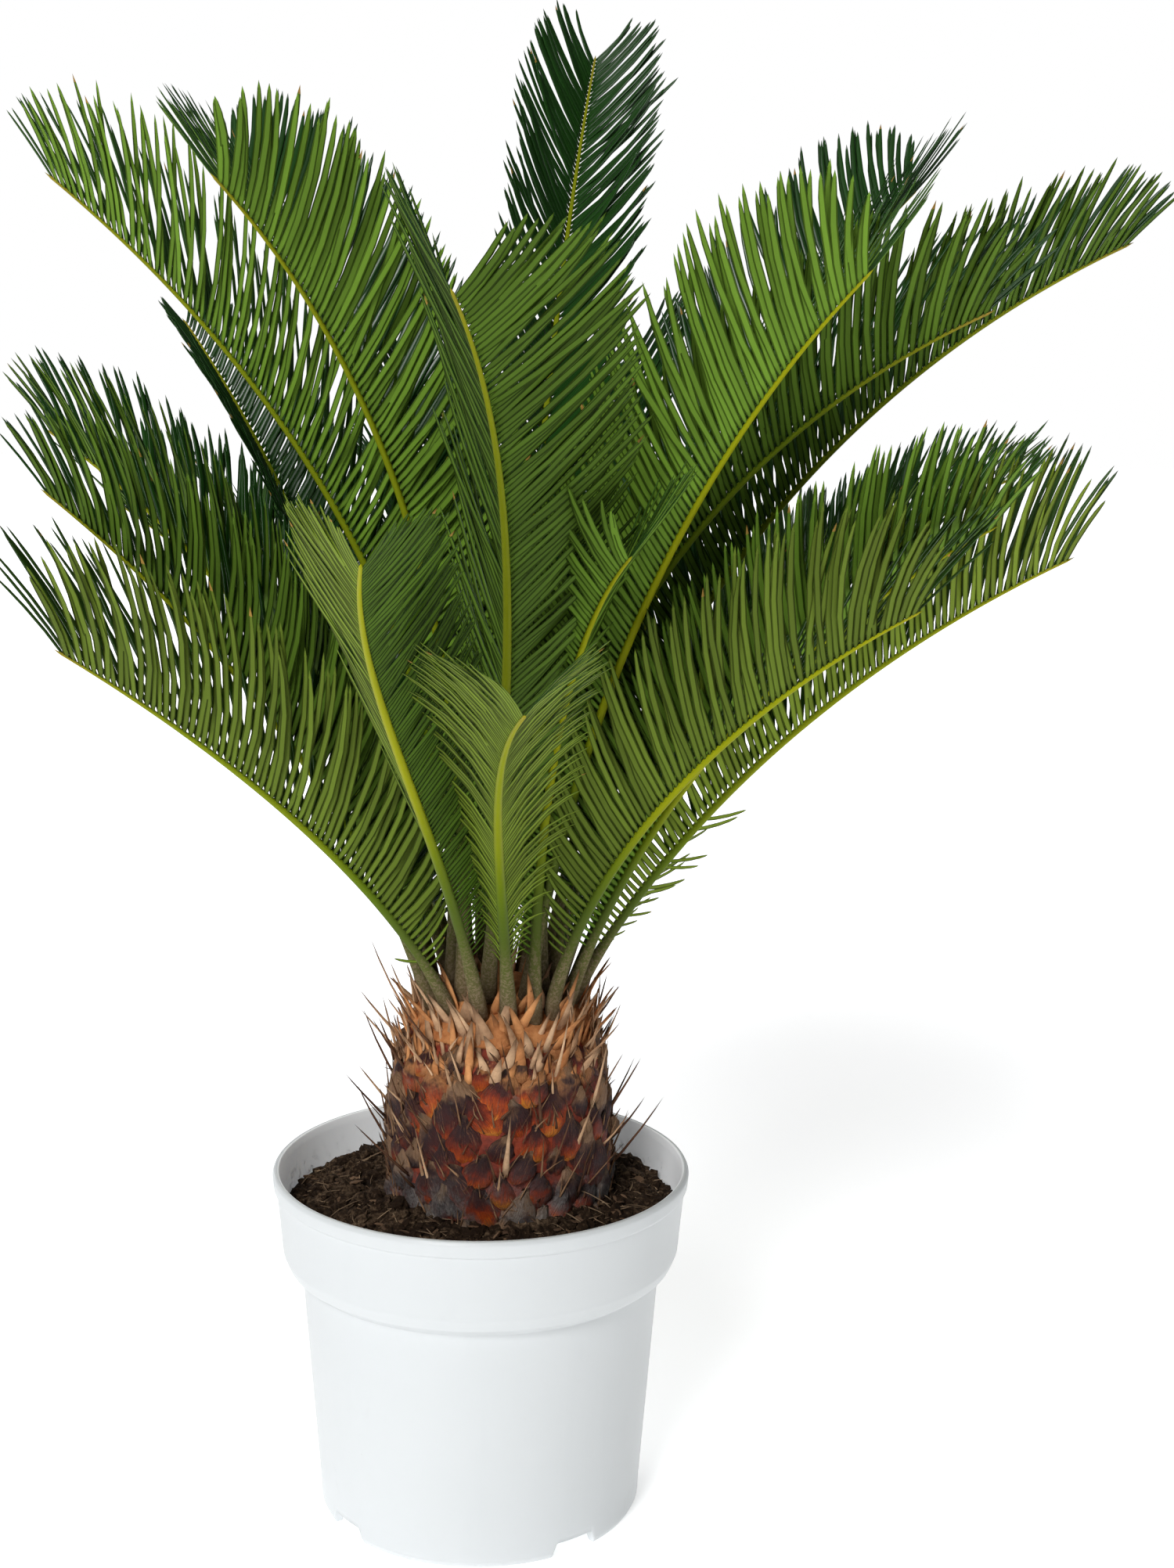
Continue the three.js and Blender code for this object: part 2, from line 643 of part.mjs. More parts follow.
// comb-shaped blade: a six-cornered rib whose side edges run out into leaflets
function buildFrond({ name, plan, rib }) {
  const points = [];
  const faces = [];
  const push = (point) => points.push(point) - 1;
  const rings = rib.map(({ place, across, above, share }) => {
    const wide = ribWidthAt(share);
    const high = ribHeightAt(share);
    const at = (u, v) => push(place.clone().addScaledVector(across, u).addScaledVector(above, v));
    return {
      top: at(0, high),
      left: [at(wide, leafletRoot), at(wide, -leafletRoot)],
      bottom: at(0, -high),
      right: [at(-wide, leafletRoot), at(-wide, -leafletRoot)],
    };
  });
  const first = rings[0];
  const loop = (ring) => [ring.top, ring.left[0], ring.left[1], ring.bottom, ring.right[1], ring.right[0]];
  const footLoop = loop(first);
  for (let i = 1; i < 5; i += 1) faces.push([footLoop[0], footLoop[i], footLoop[i + 1]]);
  for (let i = 1; i < rings.length; i += 1) {
    const near = rings[i - 1];
    const far = rings[i];
    const strip = (a, b) => faces.push([a[0], a[1], b[1]], [a[0], b[1], b[0]]);
    strip([near.top, far.top], [near.left[0], far.left[0]]);
    strip([near.left[1], far.left[1]], [near.bottom, far.bottom]);
    strip([near.bottom, far.bottom], [near.right[1], far.right[1]]);
    strip([near.right[0], far.right[0]], [near.top, far.top]);
    const share = (rib[i - 1].share + rib[i].share) / 2;
    [["left", 1], ["right", -1]].forEach(([key, side]) => {
      let tip = null;
      if (rib[i - 1].share >= petioleShare - 1e-6) {
        const frame = frameAt(plan, share);
        const direction = leafletDirection(plan, frame, share, side);
        const root = rib[i - 1].place.clone().lerp(rib[i].place, 0.5)
          .addScaledVector(frame.across, ribWidthAt(share) * side);
        const starts = [rib[i - 1], rib[i]].map((station) => station.place.clone()
          .addScaledVector(station.across, ribWidthAt(station.share) * side));
        for (const cut of [1, 0.85, 0.7, 0.55, 0.4, 0.25]) {
          let taper = 1 + ((plan.tipLength ?? 1) - 1) * share ** 2;
          taper *= 1 + ((plan.footLength ?? 1) - 1) * (1 - share) ** 2;
          const end = root.clone().addScaledVector(direction, plan.leaflet * reachAt(share) * taper * cut);
          const blade = bladeOf(starts[0], starts[1], end, name);
          if (isClear(blade)) {
            placedBlades.push(blade);
            tip = push(end);
            break;
          }
        }
      }
      const [nearUp, nearDown] = near[key];
      const [farUp, farDown] = far[key];
      const rim = [[nearUp, farUp], [farUp, farDown], [farDown, nearDown], [nearDown, nearUp]];
      const outward = side > 0 ? rim : rim.reverse().map(([a, b]) => [b, a]);
      if (tip === null) {
        const corners = outward.map(([a]) => a);
        faces.push([corners[0], corners[1], corners[2]], [corners[0], corners[2], corners[3]]);
      } else {
        outward.forEach(([a, b]) => faces.push([a, b, tip]));
      }
    });
  }
  const last = rib[rib.length - 1];
  const apex = push(last.place.clone().addScaledVector(last.along, terminalLeaflet));
  const endLoop = loop(rings[rings.length - 1]);
  for (let i = 0; i < 6; i += 1) faces.push([endLoop[(i + 1) % 6], endLoop[i], apex]);
  const solid = solidOf(points, faces);
  const outward = solid.volume() > 0 ? solid : solidOf(points, faces.map(([a, b, c]) => [a, c, b]));
  return outward.subtract(crownCore(clearance));
}

fronds.forEach((frond) => {
  const shade = frond.plan.ring === innerRing ? "#3f6b2a" : "#4a7330";
  keep(`frond_${frond.name}`, buildFrond(frond), shade, 0.45);
});

// ---------------------------------------------------------------- one frame for all parts
const bounds = new THREE.Box3();
parts.forEach((part) => bounds.expandByObject(part));
const centre = bounds.getCenter(vector(0, 0, 0));
const plant = new THREE.Group();
plant.name = "sago_palm";
parts.forEach((part) => {
  part.geometry.translate(-centre.x, -centre.y, 0);
  plant.add(part);
});

export default plant;
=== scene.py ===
import json
import math
import random

import bpy
import numpy as np
from mathutils import Matrix, Vector

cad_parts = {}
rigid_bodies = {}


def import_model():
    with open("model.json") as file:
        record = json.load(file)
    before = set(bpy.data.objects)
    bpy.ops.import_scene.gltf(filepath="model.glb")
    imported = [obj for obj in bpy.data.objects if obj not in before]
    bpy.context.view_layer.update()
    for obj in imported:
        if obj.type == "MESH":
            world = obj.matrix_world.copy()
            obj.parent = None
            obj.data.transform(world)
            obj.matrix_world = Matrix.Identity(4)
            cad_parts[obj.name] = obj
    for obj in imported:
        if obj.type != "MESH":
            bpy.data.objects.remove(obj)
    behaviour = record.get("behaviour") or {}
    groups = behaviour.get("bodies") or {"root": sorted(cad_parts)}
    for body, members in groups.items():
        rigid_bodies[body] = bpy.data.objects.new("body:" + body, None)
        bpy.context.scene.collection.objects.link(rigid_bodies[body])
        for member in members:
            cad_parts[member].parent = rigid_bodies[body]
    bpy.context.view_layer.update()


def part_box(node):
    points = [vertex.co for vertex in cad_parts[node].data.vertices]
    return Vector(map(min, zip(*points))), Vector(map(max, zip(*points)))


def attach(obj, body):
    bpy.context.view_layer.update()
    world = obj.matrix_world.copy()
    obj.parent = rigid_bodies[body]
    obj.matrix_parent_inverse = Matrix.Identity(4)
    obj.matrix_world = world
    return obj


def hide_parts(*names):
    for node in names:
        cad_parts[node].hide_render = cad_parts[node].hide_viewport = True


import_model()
scene = bpy.context.scene
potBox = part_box("pot")
potX = (potBox[0][0] + potBox[1][0]) / 2
potY = (potBox[0][1] + potBox[1][1]) / 2
trunkX = potX + 0.009  # the stem stands a little right of the pot's middle
print("frame loaded, pot axis at", round(potX, 4), round(potY, 4))


# node maths: an expression on fields adds the Math nodes it needs
class Field:
    def __init__(self, graph, socket):
        self.graph = graph
        self.socket = socket

    def maths(self, operation, *others):
        return self.graph.add("ShaderNodeMath", {"operation": operation}, [self, *others])

    def __add__(self, other):
        return self.maths("ADD", other)

    __radd__ = __add__

    def __sub__(self, other):
        return self.maths("SUBTRACT", other)

    def __rsub__(self, other):
        return self.graph.add("ShaderNodeMath", {"operation": "SUBTRACT"}, [other, self])

    def __mul__(self, other):
        return self.maths("MULTIPLY", other)

    __rmul__ = __mul__

    def within(self, low, high):  # 0 below low, 1 above high
        settings = {"interpolation_type": "SMOOTHSTEP"}
        return self.graph.add("ShaderNodeMapRange", settings,
                              {"Value": self, "From Min": low, "From Max": high})


class Graph:
    def __init__(self, tree):
        self.tree = tree
        tree.nodes.clear()

    def pick(self, sockets, key):
        if isinstance(key, int):
            return sockets[key]
        return next(s for s in sockets if s.name == key and s.enabled)

    # type of node, its settings, its socket values or links, the output that is wanted
    def add(self, kind, settings=None, values=None, output=0):
        node = self.tree.nodes.new(kind)
        for name, value in (settings or {}).items():
            if name == "stops":
                self.setStops(node.color_ramp, value)
            else:
                setattr(node, name, value)
        pairs = values.items() if isinstance(values, dict) else enumerate(values or [])
        for key, value in pairs:
            socket = self.pick(node.inputs, key)
            if isinstance(value, Field):
                self.tree.links.new(value.socket, socket)
            else:
                socket.default_value = value
        if not node.outputs:
            return None
        return Field(self, self.pick(node.outputs, output))

    def setStops(self, ramp, stops):
        while len(ramp.elements) < len(stops):
            ramp.elements.new(1)
        for element, (place, colour) in zip(ramp.elements, stops):
            element.position = place
            element.color = (*colour, 1)

    def blend(self, amount, first, second):
        first = first if isinstance(first, Field) else (*first, 1)
        second = second if isinstance(second, Field) else (*second, 1)
        return self.add("ShaderNodeMix", {"data_type": "RGBA"}, {0: amount, 6: first, 7: second}, 2)

    def vector(self, operation, values, output=0):
        return self.add("ShaderNodeVectorMath", {"operation": operation}, values, output)

    def axis(self, vector, name):
        return self.add("ShaderNodeSeparateXYZ", {}, [vector], name)

    def attribute(self, name):
        return self.add("ShaderNodeAttribute", {"attribute_name": name}, {}, "Fac")

    def uvMap(self, name):
        return self.add("ShaderNodeUVMap", {"uv_map": name}, {}, "UV")

    def tones(self, amount, stops):
        return self.add("ShaderNodeValToRGB", {"stops": stops}, [amount], "Color")

    def noise(self, place, scale, detail=3, roughness=0.5, distortion=0):
        return self.add("ShaderNodeTexNoise", {}, {
            "Vector": place, "Scale": scale, "Detail": detail, "Roughness": roughness,
            "Distortion": distortion}, "Fac")

    def bump(self, height, strength, distance):
        return self.add("ShaderNodeBump", {}, {
            "Strength": strength, "Distance": distance, "Height": height}, "Normal")

    # colour, roughness, glow or bump of the material that this graph belongs to
    def feed(self, **fields):
        for name, field in fields.items():
            self.tree.links.new(field.socket, self.shader.inputs[name.replace("_", " ")])


def newMaterial(name, colour, roughness, shine=0.5):
    material = bpy.data.materials.new(name)
    material.use_nodes = True
    material.diffuse_color = (*colour, 1)
    graph = Graph(material.node_tree)
    graph.shader = graph.tree.nodes.new("ShaderNodeBsdfPrincipled")
    graph.shader.inputs["Base Color"].default_value = (*colour, 1)
    graph.shader.inputs["Roughness"].default_value = roughness
    graph.shader.inputs["Specular IOR Level"].default_value = shine
    finish = graph.tree.nodes.new("ShaderNodeOutputMaterial")
    graph.tree.links.new(graph.shader.outputs[0], finish.inputs[0])
    return material, graph


# a material with the node that gives the place on the object, for a pattern
def patterned(name, colour, roughness, shine=0.5):
    material, graph = newMaterial(name, colour, roughness, shine)
    return material, graph, graph.add("ShaderNodeTexCoord", {}, {}, "Object")


# mesh helpers
def newObject(name, points, faces, materials, smooth=True):
    mesh = bpy.data.meshes.new(name)
    mesh.from_pydata([tuple(p) for p in points], [], faces)
    mesh.update()
    for material in materials:
        mesh.materials.append(material)
    mesh.polygons.foreach_set("use_smooth", [smooth] * len(mesh.polygons))
    piece = bpy.data.objects.new(name, mesh)
    scene.collection.objects.link(piece)
    return piece


def finishPiece(piece, slot, *nodes):
    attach(piece, "root")
    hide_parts(*nodes)
    triangles = sum(len(p.vertices) - 2 for p in piece.data.polygons)
    print("piece", piece.name, triangles, "triangles")


# value read off a list of (place, value) pairs
def ramp(pairs, place):
    places, values = zip(*pairs)
    return float(np.interp(place, places, values))


# the corners of a profile made into small arcs
def rounded(profile, radius, steps=3):
    made = [profile[0]]
    for before, corner, after in zip(profile, profile[1:], profile[2:]):
        corner = np.array(corner, float)
        toBefore = np.array(before, float) - corner
        toAfter = np.array(after, float) - corner
        reach = min(radius, np.linalg.norm(toBefore) * 0.45, np.linalg.norm(toAfter) * 0.45)
        start = corner + toBefore / np.linalg.norm(toBefore) * reach
        end = corner + toAfter / np.linalg.norm(toAfter) * reach
        for step in range(steps + 1):
            t = step / steps
            made.append(tuple((1 - t) ** 2 * start + 2 * t * (1 - t) * corner + t * t * end))
    made.append(profile[-1])
    return made


# angles of columns round a full turn
def circle(count):
    return [2 * math.pi * i / count for i in range(count)]


# closed ring surface from a profile of (radius, height) in metres that starts and ends on the axis
def lathe(name, profile, angles, centre, materials, shift=None):
    points = []
    rings = []
    for radius, height in profile:
        start = len(points)
        if radius < 1e-6:
            points.append((centre[0], centre[1], height))
            rings.append([start])
            continue
        for angle in angles:
            r, h = shift(radius, height, angle) if shift else (radius, height)
            points.append((centre[0] + r * math.cos(angle), centre[1] + r * math.sin(angle), h))
        rings.append(list(range(start, start + len(angles))))
    faces = []
    count = len(angles)
    for low, high in zip(rings, rings[1:]):
        for i in range(count):
            j = (i + 1) % count
            if len(low) == 1 and len(high) == 1:
                continue
            if len(low) == 1:
                faces.append((low[0], high[j], high[i]))
            elif len(high) == 1:
                faces.append((low[i], low[j], high[0]))
            else:
                faces.append((low[i], low[j], high[j], high[i]))
    return newObject(name, points, faces, materials)


# smooth noise on points, for uneven surfaces
def swell(points, scale, seed):
    spread = np.random.default_rng(seed)
    total = np.zeros(len(points))
    for k in range(10):
        direction = spread.normal(size=3)
        direction *= scale * (0.6 + 0.25 * k) / np.linalg.norm(direction)
        total += np.sin(points @ direction + spread.uniform(0, 6.28)) / (1 + 0.25 * k)
    return total / 4


# the camera, the floor and the light
view = dict(
    place=(-0.001, -1.14, 0.607),  # from the pot's axis
    down=11.36, right=2.64, roll=0.72, lens=53.9,
)


def makeCamera():
    down, aside, roll = (math.radians(view[key]) for key in ("down", "right", "roll"))
    forward = Vector((math.sin(aside) * math.cos(down), math.cos(aside) * math.cos(down),
                      -math.sin(down)))
    level = Vector((math.cos(aside), -math.sin(aside), 0))
    upright = level.cross(forward)
    across = math.cos(roll) * level + math.sin(roll) * upright
    above = -math.sin(roll) * level + math.cos(roll) * upright
    camera = bpy.data.objects.new("camera", bpy.data.cameras.new("camera"))
    camera.data.sensor_width = 36
    camera.data.lens = view["lens"]
    camera.data.clip_end = 50
    place = Vector(view["place"]) + Vector((potX, potY, 0))
    turn = Matrix((across, above, -forward)).transposed()
    camera.matrix_world = Matrix.Translation(place) @ turn.to_4x4()
    scene.collection.objects.link(camera)
    scene.camera = camera


lighting = dict(
    sky=0.075, skyTone=(0.97, 0.985, 1), floorTone=(0.95, 0.955, 0.96), floorSize=(9, 0.004),
    floorGlow=0.50, farGlow=0.66, glowFrom=(0.5, 2.6),
    suns=[  # where it comes from, strength, spread in degrees
        ((-0.95, -2.22, 1.75), 2.12, 20),
        ((-0.45, 1.3, 2.2), 1.25, 36),
    ],
)


def makeStudio():
    material, graph, place = patterned("studio floor", lighting["floorTone"], 0.9)
    tone = graph.noise(place, 1.5)
    away = graph.vector("LENGTH", [place], "Value").within(*lighting["glowFrom"])
    glow = graph.blend(away, [lighting["floorGlow"]] * 3, [lighting["farGlow"]] * 3)
    graph.feed(Roughness=0.8 + tone * 0.15, Emission_Color=glow)
    graph.shader.inputs["Emission Strength"].default_value = 1
    wide, thick = lighting["floorSize"]
    floor = lathe("floor", [(0, -thick), (wide, -thick), (wide, 0), (0, 0)], circle(96), (0, 0), [material])
    world = bpy.data.worlds.new("studio")
    world.use_nodes = True
    graph = Graph(world.node_tree)
    seen = graph.add("ShaderNodeLightPath", {}, {}, "Is Camera Ray")
    sky = graph.add("ShaderNodeBackground", {}, {"Color": (*lighting["skyTone"], 1),
                                                 "Strength": lighting["sky"]})
    backdrop = graph.add("ShaderNodeBackground", {}, {"Color": (1, 1, 1, 1), "Strength": 1.0})
    both = graph.add("ShaderNodeMixShader", {}, {0: seen, 1: sky, 2: backdrop})
    graph.add("ShaderNodeOutputWorld", {}, {"Surface": both})
    scene.world = world
    for i, (spot, strength, spread) in enumerate(lighting["suns"]):
        lamp = bpy.data.lights.new(f"soft lamp {i}", "SUN")
        lamp.energy = strength
        lamp.angle = math.radians(spread)
        holder = bpy.data.objects.new(f"soft lamp {i}", lamp)
        holder.location = spot
        holder.rotation_euler = (-Vector(spot)).to_track_quat("-Z", "Y").to_euler()
        scene.collection.objects.link(holder)
    scene.view_settings.view_transform = "Standard"
    scene.view_settings.look = "None"


makeCamera()
makeStudio()
print("camera and studio made")


# the nursery pot, with profiles of (radius, height)
pot = dict(
    columns=180, feet=4, notch=17, notchHeight=0.008, firstNotch=35, corner=0.0007,  # notches in degrees
    underside=[(0, 0.009), (0.077, 0.009), (0.078, 0), (0.081, 0)],
    outside=[(0.0826, 0.003), (0.083, 0.012), (0.0915, 0.127), (0.0945, 0.129), (0.0985, 0.132),
             (0.101, 0.138), (0.104, 0.1712), (0.1055, 0.172), (0.106, 0.178), (0.1048, 0.18)],
    inside=[(0.1028, 0.18), (0.102, 0.176), (0.099, 0.139), (0.0895, 0.128), (0.081, 0.012), (0, 0.012)],
    tone=(0.72, 0.745, 0.757), cloudTone=(0.65, 0.68, 0.695), streakTone=(0.62, 0.655, 0.675),
    smudgeTone=(0.55, 0.53, 0.5), speckTone=(0.30, 0.24, 0.18), peatTone=(0.09, 0.06, 0.045),
    # the inner wall's lighter tone and faint glow below are painted light, lifting the shade that the crown
    # casts into the pot
    innerPaintedLight=(0.92, 0.925, 0.93), innerPaintedGlow=(0.16, 0.165, 0.17),
)


# the wall's inner side
def insideRadius(height):
    return ramp([(0.012, 0.081), (0.128, 0.0895), (0.139, 0.099), (0.176, 0.102)], height)


def potMaterial():
    material, graph, place = patterned("white pot plastic", pot["tone"], 0.42, 0.45)
    height = graph.axis(place, "Z")
    cloud = graph.noise(place, 9, 4, 0.6)
    tall = graph.add("ShaderNodeMapping", {}, {"Vector": place, "Scale": (60, 60, 7)})
    streak = graph.noise(tall, 1, 4, 0.6)
    dots = graph.add("ShaderNodeTexVoronoi", {}, {"Vector": place, "Scale": 62}, "Distance")
    specks = 1 - dots.within(0.022, 0.036)
    patches = graph.noise(place, 23, 2, 0.5).within(0.55, 0.7)
    smudge = graph.noise(place, 45, 4, 0.65, 0.6).within(0.62, 0.82)
    fromAxis = graph.vector("MULTIPLY", [graph.vector("SUBTRACT", [place, (potX, potY, 0)]), (1, 1, 0)])
    radius = graph.vector("LENGTH", [fromAxis], "Value")
    # the wall above the peat leans out; less the lean, its inner side is at 0.099 and its outer at 0.101
    through = radius - (height - 0.139) * 0.081
    inner = height.within(0.149, 0.152) * (1 - through.within(0.0998, 0.1004))
    crumbs = graph.noise(place, 170, 5, 0.7).within(0.52, 0.66)
    nearSoil = 1 - height.within(0.156, 0.174)
    body = graph.blend(cloud * 0.5, pot["tone"], pot["cloudTone"])
    body = graph.blend(streak.within(0.5, 0.9) * 0.25, body, pot["streakTone"])
    body = graph.blend(smudge * 0.10, body, pot["smudgeTone"])
    body = graph.blend(specks * patches * 0.7, body, pot["speckTone"])
    body = graph.blend(inner * crumbs * nearSoil * 0.85, body, pot["peatTone"])
    # painted light: the inner wall is blended to a lighter tone to lift the shade that falls on it
    body = graph.blend(inner * 0.8, body, pot["innerPaintedLight"])
    # painted glow: the inner wall gives off faint light, though it is no lamp, to brighten its shade
    paintedGlow = graph.blend(inner * (1 - crumbs * nearSoil), (0, 0, 0), pot["innerPaintedGlow"])
    graph.feed(Base_Color=body, Roughness=0.34 + cloud * 0.14 + smudge * 0.2, Emission_Color=paintedGlow,
               Normal=graph.bump(cloud * 0.7 + graph.noise(place, 900, 1) * 0.3, 0.12, 0.0004))
    graph.shader.inputs["Emission Strength"].default_value = 1
    return material


def makePot():
    columns = circle(pot["columns"])
    half = pot["notch"] / 2
    for i in range(pot["feet"]):
        middle = pot["firstNotch"] + 90 * i
        for side in (-1, 1):
            for spread in (half - 1.0, half + 1.0, half - 1.3, half + 1.3):
                columns.append(math.radians((middle + side * spread) % 360))
    columns = sorted(set(round(a, 6) for a in columns))
    profile = rounded(pot["underside"] + pot["outside"] + pot["inside"], pot["corner"])

    def shape(radius, height, angle):
        if height >= pot["notchHeight"] or radius < 0.0765:
            return radius, height
        turn = (math.degrees(angle) - pot["firstNotch"] + 45) % 90 - 45
        lift = 1 - min(1, max(0, (abs(turn) - (half - 1.05)) / 2.1))
        return radius, max(height, pot["notchHeight"] * lift)

    piece = lathe("nursery_pot", profile, columns, (potX, potY), [potMaterial()], shape)
    finishPiece(piece, "pot", "pot")


makePot()
print("pot made")


# Geometry Nodes that set copies of a few shapes on points, bend them and give the tips their finish.
# Each point carries a turn, a size, a bend, the number of its shape and a mood, which varies its colour.
def scatterTree():
    tree = bpy.data.node_groups.new("copies on points", "GeometryNodeTree")
    for name, kind in (("Points", "Geometry"), ("Shapes", "Collection"), ("Size", "Float"),
                       ("Spread", "Float"), ("Bend", "Float"), ("Tip From", "Float"),
                       ("Tip Finish", "Material"), ("Seed", "Int")):
        tree.interface.new_socket(name=name, in_out="INPUT", socket_type="NodeSocket" + kind)
    tree.interface.new_socket(name="Piece", in_out="OUTPUT", socket_type="NodeSocketGeometry")
    graph = Graph(tree)
    enter = tree.nodes.new("NodeGroupInput")

    def given(name):
        return Field(graph, enter.outputs[name])

    def stored(name, kind):
        return graph.add("GeometryNodeInputNamedAttribute", {"data_type": kind}, {"Name": name},
                         "Attribute")

    shapes = graph.add("GeometryNodeCollectionInfo", {}, {
        "Collection": given("Shapes"), "Separate Children": True, "Reset Children": True})
    seed = given("Seed")
    chance = graph.add("FunctionNodeRandomValue", {"data_type": "FLOAT"},
                       {"Min": 0.0, "Max": 1.0, "Seed": seed}, "Value")
    growth = given("Size") * (1 + (chance * 2 - 1) * given("Spread"))
    scale = graph.vector("SCALE", {0: stored("size", "FLOAT_VECTOR"), "Scale": growth})
    turn = graph.add("FunctionNodeEulerToRotation", {}, [stored("turn", "FLOAT_VECTOR")])
    copies = graph.add("GeometryNodeInstanceOnPoints", {}, {
        "Points": given("Points"), "Instance": shapes, "Pick Instance": True,
        "Instance Index": stored("shape", "INT"), "Rotation": turn, "Scale": scale})
    whole = graph.add("GeometryNodeRealizeInstances", {}, [copies])
    reach = stored("reach", "FLOAT")
    offset = graph.vector("SCALE", {
        0: stored("bend", "FLOAT_VECTOR"), "Scale": reach * reach * given("Bend")})
    bent = graph.add("GeometryNodeSetPosition", {}, {"Geometry": whole, "Offset": offset})
    dry = graph.add("FunctionNodeCompare", {"data_type": "FLOAT", "operation": "GREATER_THAN"},
                    {"A": reach * stored("dry", "FLOAT"), "B": given("Tip From")}, "Result")
    last = graph.add("GeometryNodeSetMaterial", {}, {
        "Geometry": bent, "Selection": dry, "Material": given("Tip Finish")})
    graph.add("NodeGroupOutput", {}, [last])
    return tree


copyTree = scatterTree()


def shapeCollection(name, shapes):
    collection = bpy.data.collections.new(name)
    for shape in shapes:
        scene.collection.objects.unlink(shape)
        collection.objects.link(shape)
    return collection


def dropCollection(collection):
    for shape in list(collection.objects):
        bpy.data.objects.remove(shape)
    bpy.data.collections.remove(collection)


def storeOn(mesh, name, kind, values):
    attribute = mesh.attributes.new(name, kind, "POINT")
    key = "vector" if kind == "FLOAT_VECTOR" else "value"
    attribute.data.foreach_set(key, np.asarray(values, dtype=int if kind == "INT" else float).ravel())


# copies at the spots, made one plain mesh object
def scatter(name, spots, shapes, tipFinish, settings):
    points = bpy.data.meshes.new(name + " points")
    points.from_pydata([tuple(s["place"]) for s in spots], [], [])
    storeOn(points, "turn", "FLOAT_VECTOR", [tuple(s["turn"].to_euler()) for s in spots])
    storeOn(points, "size", "FLOAT_VECTOR", [s["size"] for s in spots])
    storeOn(points, "bend", "FLOAT_VECTOR", [tuple(s.get("bend", (0, 0, 0))) for s in spots])
    storeOn(points, "shape", "INT", [s.get("shape", 0) for s in spots])
    storeOn(points, "dry", "FLOAT", [s.get("dry", 0) for s in spots])
    storeOn(points, "mood", "FLOAT", [s.get("mood", 0.5) for s in spots])
    holder = bpy.data.objects.new(name + " points", points)
    scene.collection.objects.link(holder)
    modifier = holder.modifiers.new("copies", "NODES")
    modifier.node_group = copyTree
    given = {"Shapes": shapes, "Size": 1.0, "Spread": 0.0, "Bend": 1.0, "Tip From": 2.0,
             "Tip Finish": tipFinish, "Seed": 1, **settings}
    for item in copyTree.interface.items_tree:
        if item.in_out == "INPUT" and item.name in given:
            modifier[item.identifier] = given[item.name]
    graph = bpy.context.evaluated_depsgraph_get()
    mesh = bpy.data.meshes.new_from_object(holder.evaluated_get(graph))
    mesh.name = name
    bpy.data.objects.remove(holder)
    piece = bpy.data.objects.new(name, mesh)
    scene.collection.objects.link(piece)
    return piece


# a turn that points Y along the first direction and Z as near the second as it can
def turnTo(along, facing):
    along = Vector(along).normalized()
    facing = Vector(facing)
    facing = (facing - along * facing.dot(along)).normalized()
    return Matrix((along.cross(facing), along, facing)).transposed().to_quaternion()


def joinPieces(name, pieces):
    with bpy.context.temp_override(active_object=pieces[0], selected_editable_objects=pieces,
                                   selected_objects=pieces, object=pieces[0]):
        bpy.ops.object.join()
    pieces[0].name = name
    pieces[0].data.name = name
    return pieces[0]


# the peat in the pot, mounded towards the stem
soil = dict(
    floor=0.0123, edge=0.158, mound=0.012, columns=180, ringCount=56, lumps=0.0042, grit=0.0020,
    crumbs=3000, crumbSize=0.0018, chips=170, fibres=460, fibreLength=0.011,
    reach=0.0995, clear=0.096,  # how far out the bits lie, and how far out their ends may be
    fibreTones=((0.055, 0.033, 0.02), (0.42, 0.29, 0.18)),
    chipTones=((0.04, 0.022, 0.014), (0.20, 0.12, 0.07)),
)


def peatMaterial():
    material, graph, place = patterned("damp peat", (0.03, 0.018, 0.011), 0.9, 0.1)
    coarse = graph.noise(place, 55, 5, 0.65)
    fine = graph.noise(place, 420, 5, 0.7)
    tone = graph.tones(coarse * 0.45 + fine * 0.55, [
        (0.34, (0.006, 0.003, 0.0018)), (0.5, (0.024, 0.0135, 0.0075)), (0.61, (0.11, 0.072, 0.044)),
        (0.72, (0.27, 0.19, 0.125))])
    graph.feed(Base_Color=tone, Roughness=0.8 + fine * 0.2,
               Normal=graph.bump(fine * 0.6 + coarse, 0.9, 0.0012))
    return material


def strawMaterial(name, tones, scale):
    material, graph, place = patterned(name, tones[0], 0.85, 0.15)
    streak = graph.noise(place, scale, 4, 0.7)
    tone = graph.blend(graph.attribute("mood") * 0.6 + streak * 0.4, *tones)
    graph.feed(Base_Color=tone, Roughness=0.7 + streak * 0.25, Normal=graph.bump(streak, 0.6, 0.0006))
    return material


# an uneven lump of a few faces
def lumpShape(name, material, seed, flat=1.0):
    spread = np.random.default_rng(seed)
    points = [(0, 0, 1)]
    for k, height in enumerate((0.45, -0.35)):
        for i in range(6):
            angle = math.radians(60 * i + 30 * k)
            points.append((math.cos(angle), math.sin(angle), height))
    points.append((0, 0, -1))
    points = np.array(points) * spread.uniform(0.65, 1.15, (14, 1)) * (1, 1, flat)
    faces = []
    for i in range(6):
        j = (i + 1) % 6
        faces += [(0, 1 + i, 1 + j), (1 + i, 7 + i, 1 + j), (1 + j, 7 + i, 7 + j), (13, 7 + j, 7 + i)]
    shape = newObject(name, points, faces, [material], False)
    storeOn(shape.data, "reach", "FLOAT", [0] * 14)
    return shape


